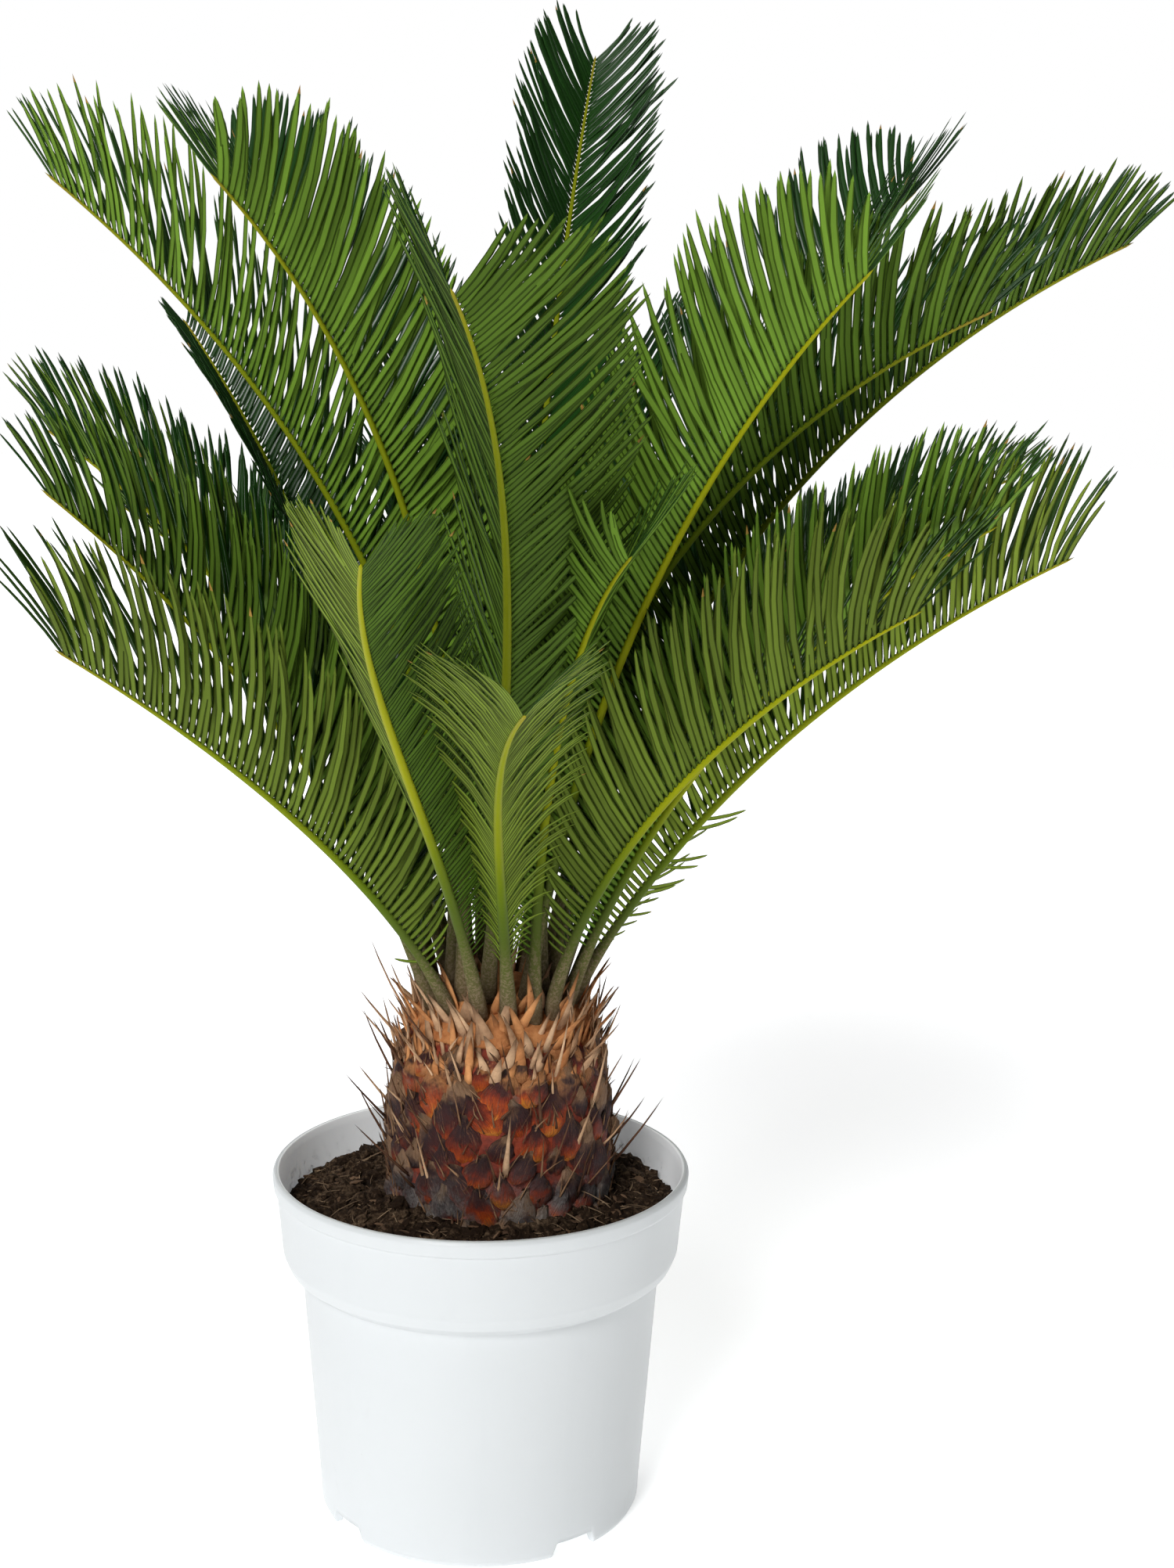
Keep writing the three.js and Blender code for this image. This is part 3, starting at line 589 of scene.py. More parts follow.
# a tapering strand: rings of (share of length, half width, half thickness) along Y, pointed at the end
def strandShape(name, material, rings, sides=5):
    points = []
    reach = []
    for share, wide, thick in rings:
        for i in range(sides):
            angle = 2 * math.pi * (i + 0.5) / sides
            points.append((wide * math.cos(angle), share, thick * math.sin(angle)))
            reach.append(share)
    points.append((0, 1, 0))
    reach.append(1)
    faces = [tuple(range(sides))]
    for k in range(len(rings) - 1):
        for i in range(sides):
            j = (i + 1) % sides
            a, b = k * sides, (k + 1) * sides
            faces.append((a + i, b + i, b + j, a + j))
    top = (len(rings) - 1) * sides
    faces += [(top + i, len(points) - 1, top + (i + 1) % sides) for i in range(sides)]
    shape = newObject(name, points, faces, [material])
    storeOn(shape.data, "reach", "FLOAT", reach)
    return shape


def soilHeight(radius):
    share = min(1, max(0, (1 - radius / 0.1003) / 0.55))
    return soil["edge"] + soil["mound"] * math.sin(share * math.pi / 2)


def makeSoil():
    outer = insideRadius(soil["edge"]) - 0.0004
    profile = [(0, soil["floor"])]
    for height, gap in ((soil["floor"], 0.0003), (0.128, 0.0003), (0.139, 0.0003), (0.152, 0.0004)):
        profile.append((insideRadius(height) - gap, height))
    for ring in range(soil["ringCount"] + 1):
        radius = outer * (1 - ring / soil["ringCount"] * 0.86)
        profile.append((radius, soilHeight(radius)))
    profile.append((0, soil["edge"] + soil["mound"]))
    peat = peatMaterial()
    piece = lathe("peat_filling", profile, circle(soil["columns"]), (potX, potY), [peat])
    places = np.array([v.co for v in piece.data.vertices])
    lift = swell(places, 130, 3) * soil["lumps"] + swell(places, 420, 4) * soil["grit"]
    lift += swell(places, 900, 5) * soil["grit"] * 0.6
    away = np.hypot(places[:, 0] - potX, places[:, 1] - potY)
    top = places[:, 2] > soil["edge"] - 0.0025  # the peat's open surface
    places[top, 2] += np.clip(lift, -0.004, 0.006)[top] * np.clip((outer - away[top]) / 0.006, 0.35, 1)
    piece.data.vertices.foreach_set("co", places.ravel())
    piece.data.update()

    spread = random.Random(12)
    bits = []

    def somewhere():
        angle = spread.uniform(0, 2 * math.pi)
        away = math.sqrt(spread.uniform(0.28, 0.965)) * soil["reach"]
        x, y = potX + away * math.cos(angle), potY + away * math.sin(angle)
        here = np.argmin(np.abs(places[top, 0] - x) + np.abs(places[top, 1] - y))
        return Vector((x, y, float(places[top][here, 2])))

    # a turn that leaves the bit's end clear of the pot's wall
    def anyTurn(place, flat, length):
        for attempt in range(40):
            out = Vector((spread.gauss(0, 1), spread.gauss(0, 1), spread.gauss(0, flat)))
            end = place + out.normalized() * length * 1.3
            if math.hypot(end.x - potX, end.y - potY) < soil["clear"]:
                break
        facing = Vector((spread.gauss(0, 0.5), spread.gauss(0, 0.5), 1))
        return turnTo(out, facing)

    for i in range(soil["crumbs"]):
        size = soil["crumbSize"] * (0.45 + spread.random() ** 2.5 * 2.1)
        place = somewhere()
        bits.append(dict(place=place, turn=anyTurn(place, 1, 0), size=(size, size, size * 0.8),
                         shape=spread.randrange(3), mood=spread.random()))
    for i in range(soil["chips"]):
        size = spread.uniform(0.002, 0.0045)
        place = somewhere() + Vector((0, 0, 0.001))
        bits.append(dict(place=place, turn=anyTurn(place, 0.3, size), size=(size * 0.6, size, size * 0.3),
                         shape=3, mood=spread.random()))
    for i in range(soil["fibres"]):
        length = soil["fibreLength"] * spread.uniform(0.4, 1.7)
        bend = Vector((spread.gauss(0, 1), spread.gauss(0, 1), spread.uniform(-1, 0.2))) * length * 0.25
        place = somewhere() + Vector((0, 0, 0.0006))
        bits.append(dict(place=place, turn=anyTurn(place, 0.28, length), bend=bend, size=(1, length, 1),
                         shape=4, mood=spread.random() ** 2))
    straw = strawMaterial("pale root fibre", soil["fibreTones"], 300)
    chip = strawMaterial("bark chip", soil["chipTones"], 260)
    strand = [(0, 0.00032, 0.00028), (0.35, 0.00034, 0.0003), (0.7, 0.00025, 0.0002)]
    shapes = shapeCollection("soil bits", [
        lumpShape("bit 0", peat, 1), lumpShape("bit 1", peat, 2), lumpShape("bit 2", peat, 3),
        lumpShape("bit 3", chip, 4, 0.7), strandShape("bit 4", straw, strand, 4)])
    crumbs = scatter("peat crumbs", bits, shapes, peat, {"Seed": 5, "Spread": 0.2})
    dropCollection(shapes)
    joinPieces("peat_filling", [piece, crumbs])
    finishPiece(piece, "soil", "soil")


makeSoil()
print("soil made")


# the stem with its old leaf bases
stem = dict(
    foot=0.0842, footRadius=0.0257, shown=0.096, shoulder=0.2555, top=0.256,
    padFrom=0.147, padTo=0.247, padRow=0.0118, padsPerRow=18, padWidth=0.0122, padHeight=0.0142,
    padDepth=0.0052, awns=0.6, awnLength=0.015, fibres=420, spines=64, spineLength=0.03,
    felt=((0.31, 0.102, 0.032), (0.82, 0.39, 0.155)), straw=((0.31, 0.155, 0.076), (0.84, 0.56, 0.34)),
    dark=((0.05, 0.022, 0.014), (0.17, 0.085, 0.048)), brown=((0.10, 0.045, 0.022), (0.42, 0.25, 0.14)),
)
# heights and radii
stemProfile = [(0.0835, 0.0), (0.084, 0.026), (0.096, 0.047), (0.124, 0.055), (0.164, 0.0565),
               (0.204, 0.0565), (0.232, 0.0535), (0.2555, 0.046), (0.256, 0.0)]


def stemRadius(height):
    return ramp([(z, r) for z, r in stemProfile[1:-1]], height)


def padMaterial():
    material, graph, place = patterned("old leaf bases", (0.08, 0.03, 0.02), 0.6, 0.35)
    onPad = graph.uvMap("pad")
    across = graph.axis(onPad, "X")
    upward = graph.axis(onPad, "Y")
    height = graph.axis(place, "Z")
    mood = graph.attribute("mood")
    cloud = graph.noise(place, 120, 4, 0.6)
    fine = graph.noise(place, 620, 4, 0.7)
    lines = graph.add("ShaderNodeCombineXYZ", {}, {
        "X": across * 22 + mood * 40, "Y": upward * 1.3, "Z": cloud * 1.6})
    streak = graph.noise(lines, 1.6, 4, 0.7)
    level = upward + (cloud - 0.5) * 0.8 + (mood - 0.5) * 0.7 + (streak - 0.5) * 0.3 + 0.13
    tone = graph.tones(level, [
        (0.02, (0.86, 0.29, 0.035)), (0.18, (0.64, 0.10, 0.014)), (0.36, (0.30, 0.038, 0.012)),
        (0.53, (0.080, 0.018, 0.015)), (0.78, (0.042, 0.019, 0.021)), (0.93, (0.17, 0.085, 0.050)),
        (1.0, (0.38, 0.22, 0.12))])
    tone = graph.blend((streak - 0.38) * 1.6, tone, (0.012, 0.006, 0.007))
    glints = streak.within(0.56, 0.66) * 0.45
    tone = graph.blend(glints, tone, (0.42, 0.17, 0.085))
    felt = height.within(0.222, 0.256) * 1.7 * graph.noise(place, 90, 3, 0.6).within(0.42, 0.62)
    felted = graph.blend(fine, (0.34, 0.10, 0.03), (0.86, 0.42, 0.16))
    tone = graph.blend(felt.within(0, 1) * 0.9, tone, felted)
    dust = (1 - height.within(0.166, 0.205)) * graph.noise(place, 60, 3, 0.6).within(0.36, 0.62)
    ash = graph.blend((streak * 0.8 + fine * 0.8 - 0.3).within(0.2, 0.8), (0.022, 0.019, 0.019),
                      (0.32, 0.305, 0.29))
    tone = graph.blend(dust * 0.85, tone, ash)
    crust = graph.noise(place, 95, 2, 0.5).within(0.66, 0.72) * fine
    tone = graph.blend(crust * 0.8, tone, (0.26, 0.20, 0.15))
    graph.feed(Base_Color=tone, Roughness=0.38 + level.within(0.1, 0.6) * 0.3 + dust * 0.25,
               Normal=graph.bump(streak * 0.7 + fine * 0.3, 1, 0.0026))
    return material


def feltMaterial(name, low, high):
    material, graph, place = patterned(name, low, 0.95, 0.1)
    fuzz = graph.noise(place, 260, 5, 0.7)
    patch = graph.noise(place, 70, 3, 0.6)
    tone = graph.blend(fuzz * 0.9 + graph.attribute("mood") * 0.45 + (patch - 0.5) * 1.3 - 0.18, low, high)
    tone = graph.blend(graph.attribute("reach").within(0.5, 0.95) * 0.75, tone, (0.060, 0.030, 0.016))
    graph.feed(Base_Color=tone, Roughness=0.8 + fuzz * 0.2, Normal=graph.bump(fuzz, 0.9, 0.0009))
    return material


# a bulging rhombic pad whose upper point stands off, X across, Y up, Z outward
def padShape(name, material, seed):
    spread = np.random.default_rng(seed)
    lopsided = spread.uniform(-0.5, 0.5)
    lines = 7
    points = []
    spots = []
    for j in range(lines):
        v = j / (lines - 1)
        half = 1 - abs(2 * v - 0.9) ** 1.55
        half = max(0.10, min(1, half))
        for i in range(lines):
            u = i / (lines - 1)
            x = (2 * u - 1) * half + lopsided * (v - 0.5) + spread.uniform(-0.05, 0.05)
            y = 2 * v - 1 + spread.uniform(-0.05, 0.05)
            dome = (1 - abs(2 * u - 1) ** 1.4 * 0.8) * (math.sin(math.pi * min(1, v * 0.8 + 0.12)) ** 0.6)
            z = dome * (0.6 + 0.55 * v) + spread.uniform(-0.16, 0.16)
            if i in (0, lines - 1) or j == 0:
                z = -0.55
            if j == lines - 1:
                z = 0.35
            points.append((x, y, z))
            spots.append((u, v))
    count = len(points)
    faces = []
    for j in range(lines - 1):
        for i in range(lines - 1):
            a = j * lines + i
            faces.append((a, a + 1, a + lines + 1, a + lines))
    edge = list(range(lines)) + [j * lines + lines - 1 for j in range(1, lines)]
    edge += [(lines - 1) * lines + i for i in range(lines - 2, -1, -1)]
    edge += [j * lines for j in range(lines - 2, 0, -1)]
    points.append((0, 0.1, -1.3))
    spots.append((0.5, 0.4))
    for a, b in zip(edge, edge[1:] + edge[:1]):
        faces.append((b, a, count))
    shape = newObject(name, points, faces, [material])
    pad = shape.data.uv_layers.new(name="pad")
    for loop in shape.data.loops:
        pad.data[loop.index].uv = spots[loop.vertex_index]
    storeOn(shape.data, "reach", "FLOAT", [0] * len(points))
    return shape


# outward and sideways at an angle round the stem
def around(angle):
    return Vector((math.cos(angle), math.sin(angle), 0)), Vector((-math.sin(angle), math.cos(angle), 0))


def stemCore(bark):
    profile = [(0, stem["foot"]), (stem["footRadius"], stem["foot"])]
    profile += [(stemRadius(z) - 0.0022, z) for z in np.linspace(stem["shown"], stem["shoulder"], 60)]
    profile.append((0, stem["top"]))
    core = lathe("stem core", profile, circle(96), (trunkX, potY), [bark])
    uv = core.data.uv_layers.new(name="pad")
    for loop in core.data.loops:
        uv.data[loop.index].uv = (0.5, 0.62)
    places = np.array([v.co for v in core.data.vertices])
    outward = places - (trunkX, potY, 0)
    outward[:, 2] = 0
    long = np.linalg.norm(outward, axis=1, keepdims=True) + 1e-9
    places += outward / long * (swell(places, 220, 9)[:, None] * 0.0009)
    core.data.vertices.foreach_set("co", places.ravel())
    return core


# rows of leaf bases, some with a dry awn at the point
def leafBases(spread, pads, awns):
    rowCount = int((0.250 - stem["padFrom"]) / stem["padRow"])
    for row in range(rowCount + 1):
        height = stem["padFrom"] + row * stem["padRow"]
        for i in range(stem["padsPerRow"]):
            angle = 2 * math.pi * (i + row * 0.5 + spread.uniform(-0.09, 0.09)) / stem["padsPerRow"]
            z = height + spread.uniform(-0.003, 0.003) + 0.004 * i / stem["padsPerRow"]
            if z > stem["padTo"]:
                continue
            out, beside = around(angle)
            slope = (stemRadius(z + 0.006) - stemRadius(z - 0.006)) / 0.012
            upright = (Vector((0, 0, 1)) + out * slope).normalized()
            facing = (out - Vector((0, 0, 1)) * slope).normalized()
            upright = (upright + facing * spread.uniform(-0.04, 0.26)).normalized()
            place = Vector((trunkX, potY, z)) + out * (stemRadius(z) - 0.0028)
            big = spread.uniform(0.68, 1.18) * (1 if z < 0.232 else 0.8)
            sway = beside * spread.gauss(0, 0.26)
            pads.append(dict(
                place=place, turn=turnTo(upright + sway, facing), mood=spread.random() ** 1.1,
                size=(stem["padWidth"] * big, stem["padHeight"] * big,
                      stem["padDepth"] * spread.uniform(0.6, 1.3)), shape=spread.randrange(5)))
            if spread.random() < stem["awns"] and z > 0.160:
                lift = 0.10 + spread.random() ** 2 * 0.45
                foot = place + upright * stem["padHeight"] * big * 0.62 + facing * 0.0030
                length = stem["awnLength"] * (0.5 + spread.random() ** 1.6 * 1.6)
                aim = (upright + facing * lift + sway * 2.2).normalized()
                awns.append(dict(
                    place=foot, turn=turnTo(aim, facing), mood=spread.random(),
                    bend=(upright * 0.25 - facing * 0.1 + sway * 2) * length * spread.uniform(0, 0.5),
                    size=(spread.uniform(0.3, 0.62), length, 0.7),
                    shape=0 if spread.random() < (z - 0.205) * 14 else 3))


# short fibres that cling to the stem and long spines that stand off it
def fibresAndSpines(spread, awns):
    for i in range(stem["fibres"]):
        out, beside = around(2 * math.pi * spread.random())
        z = spread.uniform(0.15, 0.25)
        beside = beside * spread.gauss(0, 0.7)
        length = spread.uniform(0.005, 0.015)
        aim = (Vector((0, 0, 1)) + beside + out * spread.uniform(-0.02, 0.3)).normalized()
        foot = Vector((trunkX, potY, z)) + out * (stemRadius(z) + spread.uniform(0, 0.0012))
        awns.append(dict(
            place=foot, turn=turnTo(aim, out), mood=spread.random(), shape=spread.choice((1, 2, 3, 3)),
            bend=(beside * spread.uniform(-0.8, 0.8) - out * 0.06) * length,
            size=(spread.uniform(0.2, 0.5), length, 0.6)))
    for i in range(stem["spines"]):
        out, beside = around(2 * math.pi * spread.random())
        z = spread.uniform(0.176, 0.258)
        length = stem["spineLength"] * spread.uniform(0.45, 1.35)
        rise = math.radians(spread.uniform(38, 72))
        sway = beside * spread.uniform(-0.25, 0.25)
        aim = out * math.cos(rise) + Vector((0, 0, 1)) * math.sin(rise) + sway
        foot = Vector((trunkX, potY, z)) + out * (stemRadius(z) - 0.001)
        awns.append(dict(
            place=foot, turn=turnTo(aim, out), mood=spread.random(), shape=2 if spread.random() < 0.6 else 0,
            bend=Vector((0, 0, 1)) * length * spread.uniform(0.05, 0.4) + sway * length * 0.4,
            size=(spread.uniform(0.55, 0.95), length, 1)))


def makeTrunk():
    spread = random.Random(31)
    bark = padMaterial()
    felt = feltMaterial("cinnamon felt", *stem["felt"])
    straw = feltMaterial("dry scale", *stem["straw"])
    dark = feltMaterial("dark spine", *stem["dark"])
    brown = feltMaterial("brown fibre", *stem["brown"])
    core = stemCore(bark)
    pads = []
    awns = []
    leafBases(spread, pads, awns)
    fibresAndSpines(spread, awns)
    shapes = shapeCollection("pad shapes", [padShape(f"pad {k}", bark, 40 + k) for k in range(5)])
    padPiece = scatter("pads", pads, shapes, bark, {"Seed": 2, "Spread": 0.06})
    dropCollection(shapes)
    broad = [(0, 0.0016, 0.0008), (0.22, 0.0019, 0.0007), (0.5, 0.0012, 0.0005), (0.8, 0.0006, 0.0004)]
    thin = [(0, 0.0013, 0.0009), (0.25, 0.0009, 0.0007), (0.6, 0.0006, 0.0005), (0.85, 0.0004, 0.0003)]
    shapes = shapeCollection("awn shapes", [
        strandShape("awn 0", straw, broad), strandShape("awn 1", dark, broad),
        strandShape("awn 2", dark, thin), strandShape("awn 3", brown, thin)])
    awnPiece = scatter("awns", awns, shapes, straw, {"Seed": 3, "Spread": 0.1})
    dropCollection(shapes)
    piece = joinPieces("stem", [core, padPiece, awnPiece])
    finishPiece(piece, "bark", "trunk")
    return felt, straw, dark


felt, straw, dark = makeTrunk()
print("stem made")


# the felted top of the stem with its pointed scales
crown = dict(bottom=0.2545, top=0.281, radius=0.0465, rings=[
    # count, radius, height, rise in degrees, length
    (30, 0.0525, 0.2365, 78, 0.015), (40, 0.0505, 0.243, 77, 0.019), (42, 0.0480, 0.2495, 76, 0.023),
    (38, 0.0450, 0.256, 74, 0.026), (28, 0.0410, 0.262, 74, 0.026), (20, 0.0365, 0.267, 75, 0.024),
    (14, 0.029, 0.272, 78, 0.021), (10, 0.019, 0.276, 82, 0.018)])


def makeCrown():
    spread = random.Random(77)
    rise = crown["top"] - crown["bottom"]
    profile = [(0, crown["bottom"]), (0.0445, crown["bottom"])]
    for t in np.linspace(0, 1, 22)[1:-1]:
        profile.append((crown["radius"] * (1 - t ** 2.2) ** 0.7 * (1 - 0.12 * t), crown["bottom"] + rise * t))
    profile.append((0, crown["top"]))
    core = lathe("crown core", profile, circle(90), (trunkX, potY), [felt])
    places = np.array([v.co for v in core.data.vertices])
    centre = np.array((trunkX, potY, 0.25))
    outward = places - centre
    outward /= np.linalg.norm(outward, axis=1, keepdims=True) + 1e-9
    places += outward * (swell(places, 260, 19)[:, None] * 0.0012)
    core.data.vertices.foreach_set("co", places.ravel())
    scales = []
    for count, radius, height, steep, length in crown["rings"]:
        for i in range(count):
            out, beside = around(2 * math.pi * (i + spread.uniform(-0.35, 0.35)) / count)
            lift = math.radians(steep + spread.uniform(-16, 14))
            sway = beside * spread.uniform(-0.3, 0.3)
            aim = out * math.cos(lift) + Vector((0, 0, 1)) * math.sin(lift) + sway
            foot = Vector((trunkX, potY, height + spread.uniform(-0.003, 0.003))) + out * (radius - 0.003)
            long = length * spread.uniform(0.65, 1.3)
            scales.append(dict(
                place=foot, turn=turnTo(aim, out), mood=spread.random(), shape=spread.choice((0, 0, 1, 1, 2)),
                bend=out * long * spread.uniform(-0.12, 0.22) + sway * long * 0.3,
                size=(spread.uniform(0.8, 1.25), long, 1)))
    wide = [(0, 0.0026, 0.0009), (0.25, 0.0028, 0.0008), (0.5, 0.0021, 0.0006), (0.72, 0.0013, 0.0005),
            (0.9, 0.0006, 0.0004)]
    slim = [(0, 0.0015, 0.0008), (0.3, 0.0015, 0.0007), (0.6, 0.0009, 0.0005), (0.85, 0.0005, 0.0003)]
    shapes = shapeCollection("scale shapes", [
        strandShape("scale 0", straw, wide, 6), strandShape("scale 1", felt, wide, 6),
        strandShape("scale 2", straw, slim)])
    scalePiece = scatter("scales", scales, shapes, dark, {"Seed": 4, "Spread": 0.1})
    dropCollection(shapes)
    piece = joinPieces("felted_crown", [core, scalePiece])
    finishPiece(piece, "felt", "crown")


makeCrown()
print("crown made")


# the fronds. Seat is a frond's place round the crown and lean the way it points; foot and tip are the rise
# of its rib at its ends, in degrees. Length and its longest leaflet are in millimetres.
frondRings = {"inner": (26, 276), "outer": (37, 270)}  # radius and height, in millimetres
usualFrond = dict(
    sway=0, bend=1, roll=0,  # how the rib turns aside, how late it bends, its turn about itself
    colour="deep", farColour=None, ripe=0.5,  # leaflets, those on side -1, how yellow the rib is
    curl=0.14, slim=1, droop=0,  # the leaflets' curve towards the tip, their width and sag
    fold=0, tipFold=0,  # more degrees of standing up from the frond, all along and at the tip
    forward=0, tipForward=0,  # more degrees away from the rib, all along and at the tip
    footLength=1, tipLength=1,  # length of the leaflets at the ends
    straySide=0, strayTo=0,  # side and share of the rib with loose low leaflets
)
frondPlan = {
    "top_back": dict(ring="inner", seat=85, lean=79, foot=78, tip=43, length=562, leaflet=69, bend=0.9,
        roll=-15, curl=0.13, forward=8),
    "top_left_far": dict(ring="inner", seat=196, lean=198, foot=97, tip=38.6, length=445, leaflet=82,
        sway=1, bend=0.8, colour="fresh", curl=0.13, ripe=0.45, slim=0.85),
    "top_left_near": dict(ring="inner", seat=224, lean=228, foot=92, tip=36, length=432, leaflet=78,
        sway=3, bend=1.3, colour="fresh", curl=0.12, ripe=0.55),
    "top_left_back": dict(ring="inner", seat=132, lean=127, foot=90, tip=33, length=475, leaflet=87,
        sway=5, bend=1.1, ripe=0.4),
    "centre_near": dict(ring="inner", seat=256, lean=277, foot=67, tip=29, length=450, leaflet=78,
        sway=-21, bend=1.2, roll=16, curl=0.12, ripe=0.6, forward=8),
    "top_right_near": dict(ring="inner", seat=300, lean=306, foot=75, tip=37, length=418, leaflet=84,
        bend=1.2, colour="fresh", curl=0.12, ripe=0.9),
    "top_right_back": dict(ring="inner", seat=25, lean=37, foot=79, tip=35.5, length=484, leaflet=72,
        sway=2, curl=0.16, tipLength=1.15),
    "top_right_far": dict(ring="inner", seat=348, lean=342, foot=78, tip=25.5, length=464, leaflet=73,
        sway=-2, bend=1.2, ripe=0.35, tipLength=1.02),
    "right_inner": dict(ring="inner", seat=324, lean=322, foot=97, tip=24, length=425, leaflet=86, sway=5,
        bend=0.8, ripe=0.15),
    "back_inner_right": dict(ring="inner", seat=62, lean=69, foot=75, tip=46, length=355, leaflet=85,
        sway=6, bend=0.8),
    "back_inner_left": dict(ring="inner", seat=108, lean=100, foot=74, tip=34, length=355, leaflet=85,
        sway=-6),
    "left_inner": dict(ring="inner", seat=164, lean=152, foot=72, tip=28, length=310, leaflet=78, sway=4),
    "low_left_near": dict(ring="outer", seat=226, lean=208, foot=73.6, tip=33.4, length=269, leaflet=90,
        sway=-2, bend=0.4, colour="dull", curl=0.2, ripe=0.4, forward=-4, tipForward=6, tipLength=1.02,
        straySide=1, strayTo=0.11),
    "low_left_far": dict(ring="outer", seat=200, lean=199, foot=71, tip=40, length=315, leaflet=82,
        bend=0.9, curl=0.2, forward=-6, tipLength=0.9),
    "low_left_back": dict(ring="outer", seat=178, lean=177, foot=77, tip=35, length=338, leaflet=74,
        sway=1, bend=1.1, curl=0.2, forward=-6),
    "left_back_dark": dict(ring="outer", seat=157, lean=130.5, foot=75, tip=39.2, length=398, leaflet=66,
        roll=9, curl=0.16, ripe=0.4, forward=3, tipLength=0.6),
    # its side -1 leaflets take the shaded tones, painted shade for the side turned from the light
    "front_left": dict(ring="outer", seat=254, lean=254, foot=67, tip=22, length=430, leaflet=67, sway=21,
        bend=0.5, roll=6, colour="olive", farColour="shaded", curl=0.12, ripe=1, slim=0.85, tipForward=-6,
        tipLength=0.78),
    "front_middle": dict(ring="outer", seat=276, lean=265, foot=70, tip=18, length=345, leaflet=80,
        sway=12, bend=0.5, colour="olive", curl=-0.2, ripe=0.6, slim=0.74, fold=-10, tipFold=10,
        forward=8, tipLength=0.74, droop=0.34),
    "front_right": dict(ring="outer", seat=296, lean=283, foot=88, tip=27, length=288, leaflet=76, sway=3,
        bend=1.15, roll=-6, colour="fresh", ripe=0.9, tipLength=0.9),
    "low_right_near": dict(ring="outer", seat=314, lean=322, foot=85, tip=29, length=295, leaflet=90,
        sway=-3, bend=0.5, colour="dull", curl=0.15, ripe=0.8, forward=-4, footLength=0.72),
    "low_right_mid": dict(ring="outer", seat=333, lean=331, foot=70, tip=30, length=327, leaflet=88,
        colour="fresh", ripe=0.8, footLength=0.66),
    "low_right_far": dict(ring="outer", seat=351, lean=339, foot=63, tip=27.9, length=332, leaflet=86,
        sway=1, bend=0.9, colour="olive", curl=0.16, ripe=0.6, tipForward=16, footLength=0.66,
        tipLength=1.12, straySide=-1, strayTo=0.38),
    "low_right_back": dict(ring="outer", seat=10, lean=16, foot=70, tip=23, length=355, leaflet=50,
        sway=-2, bend=1.1, curl=0.42, tipForward=8, tipLength=1.1),
    "back_low_right": dict(ring="outer", seat=36, lean=46, foot=62, tip=14, length=340, leaflet=80,
        sway=3, bend=0.9, colour="olive", curl=0.15),
    "back_low_middle": dict(ring="outer", seat=66, lean=72, foot=66, tip=20, length=350, leaflet=80,
        sway=-4, bend=0.9, colour="fresh", curl=0.15),
    "back_low_centre": dict(ring="outer", seat=97, lean=99, foot=66, tip=22, length=345, leaflet=80,
        sway=4, bend=0.9, curl=0.15),
    "back_low_left": dict(ring="outer", seat=127, lean=124, foot=64, tip=24, length=330, leaflet=78,
        sway=-3, bend=0.9, colour="olive", curl=0.15),
}
frondPlan = {name: {**usualFrond, **own} for name, own in frondPlan.items()}
leaf = dict(
    pitch=0.0036, halfWidth=0.00166, first=0.095, twist=11, angleSpread=2.6, lengthSpread=0.06,
    tones={  # of a leaflet's face and back
        # the shaded tones are painted shade: darker copies for leaflets on a side that faces away from the
        # light
        "shaded": ((0.012, 0.048, 0.005), (0.066, 0.130, 0.009)),
        "dull": ((0.024, 0.066, 0.008), (0.110, 0.163, 0.017)),
        "fresh": ((0.030, 0.095, 0.010), (0.137, 0.256, 0.025)),
        "olive": ((0.028, 0.075, 0.009), (0.162, 0.232, 0.021)),
        "deep": ((0.012, 0.055, 0.006), (0.090, 0.168, 0.016)),
    },
    # groove is the share of the back tone kept on the underside channels: painted shade under the rolled
    # edges
    tints=(0.84, 1.0, 1.17), groove=0.42, dryTone=(0.34, 0.20, 0.04), dryShare=0.05, dryFrom=0.93,
)
petioleShare = 0.12  # bare stalk at the foot of a rib
# along a rib, from the crown: degrees between it and a leaflet, degrees that the leaflets stand up, and
# their length beside the longest
forwardAt = [(0.12, 70), (0.5, 53), (0.85, 46), (0.95, 41), (1, 30)]
foldAt = [(0.12, 60), (0.3, 56), (0.6, 52), (1, 38)]
reachAt = [(0.09, 0.1), (0.12, 0.22), (0.18, 0.43), (0.3, 0.77), (0.45, 0.95), (0.65, 1), (0.85, 0.98),
           (0.95, 0.78), (1, 0.44)]
ribWide = [(0, 4.6), (0.12, 2.7), (0.6, 1.7), (1, 0.7)]  # half width and half height, in millimetres
ribHigh = [(0, 3.8), (0.12, 2.3), (0.6, 1.5), (1, 0.6)]


# directions along, across and above the rib at a share of its length
def frameAt(plan, share):
    rise = math.radians(plan["foot"] + (plan["tip"] - plan["foot"]) * share ** plan["bend"])
    lean = math.radians(plan["lean"] + plan["sway"] * share ** 1.5)
    roll = math.radians(plan["roll"] * min(1, share / petioleShare))
    level = Vector((math.sin(lean), -math.cos(lean), 0))
    along = Vector((math.cos(rise) * math.cos(lean), math.cos(rise) * math.sin(lean), math.sin(rise)))
    upper = Vector((-math.sin(rise) * math.cos(lean), -math.sin(rise) * math.sin(lean), math.cos(rise)))
    across = level * math.cos(roll) + upper * math.sin(roll)
    above = upper * math.cos(roll) - level * math.sin(roll)
    return along, across, above


def ribLine(plan, steps=400):
    radius, height = frondRings[plan["ring"]]
    seat = math.radians(plan["seat"])
    point = Vector((trunkX + radius * math.cos(seat) / 1000, potY + radius * math.sin(seat) / 1000,
                    height / 1000))
    line = [point]
    for i in range(steps):
        along = frameAt(plan, (i + 0.5) / steps)[0]
        line.append(line[-1] + along * (plan["length"] / 1000 / steps))
    return line


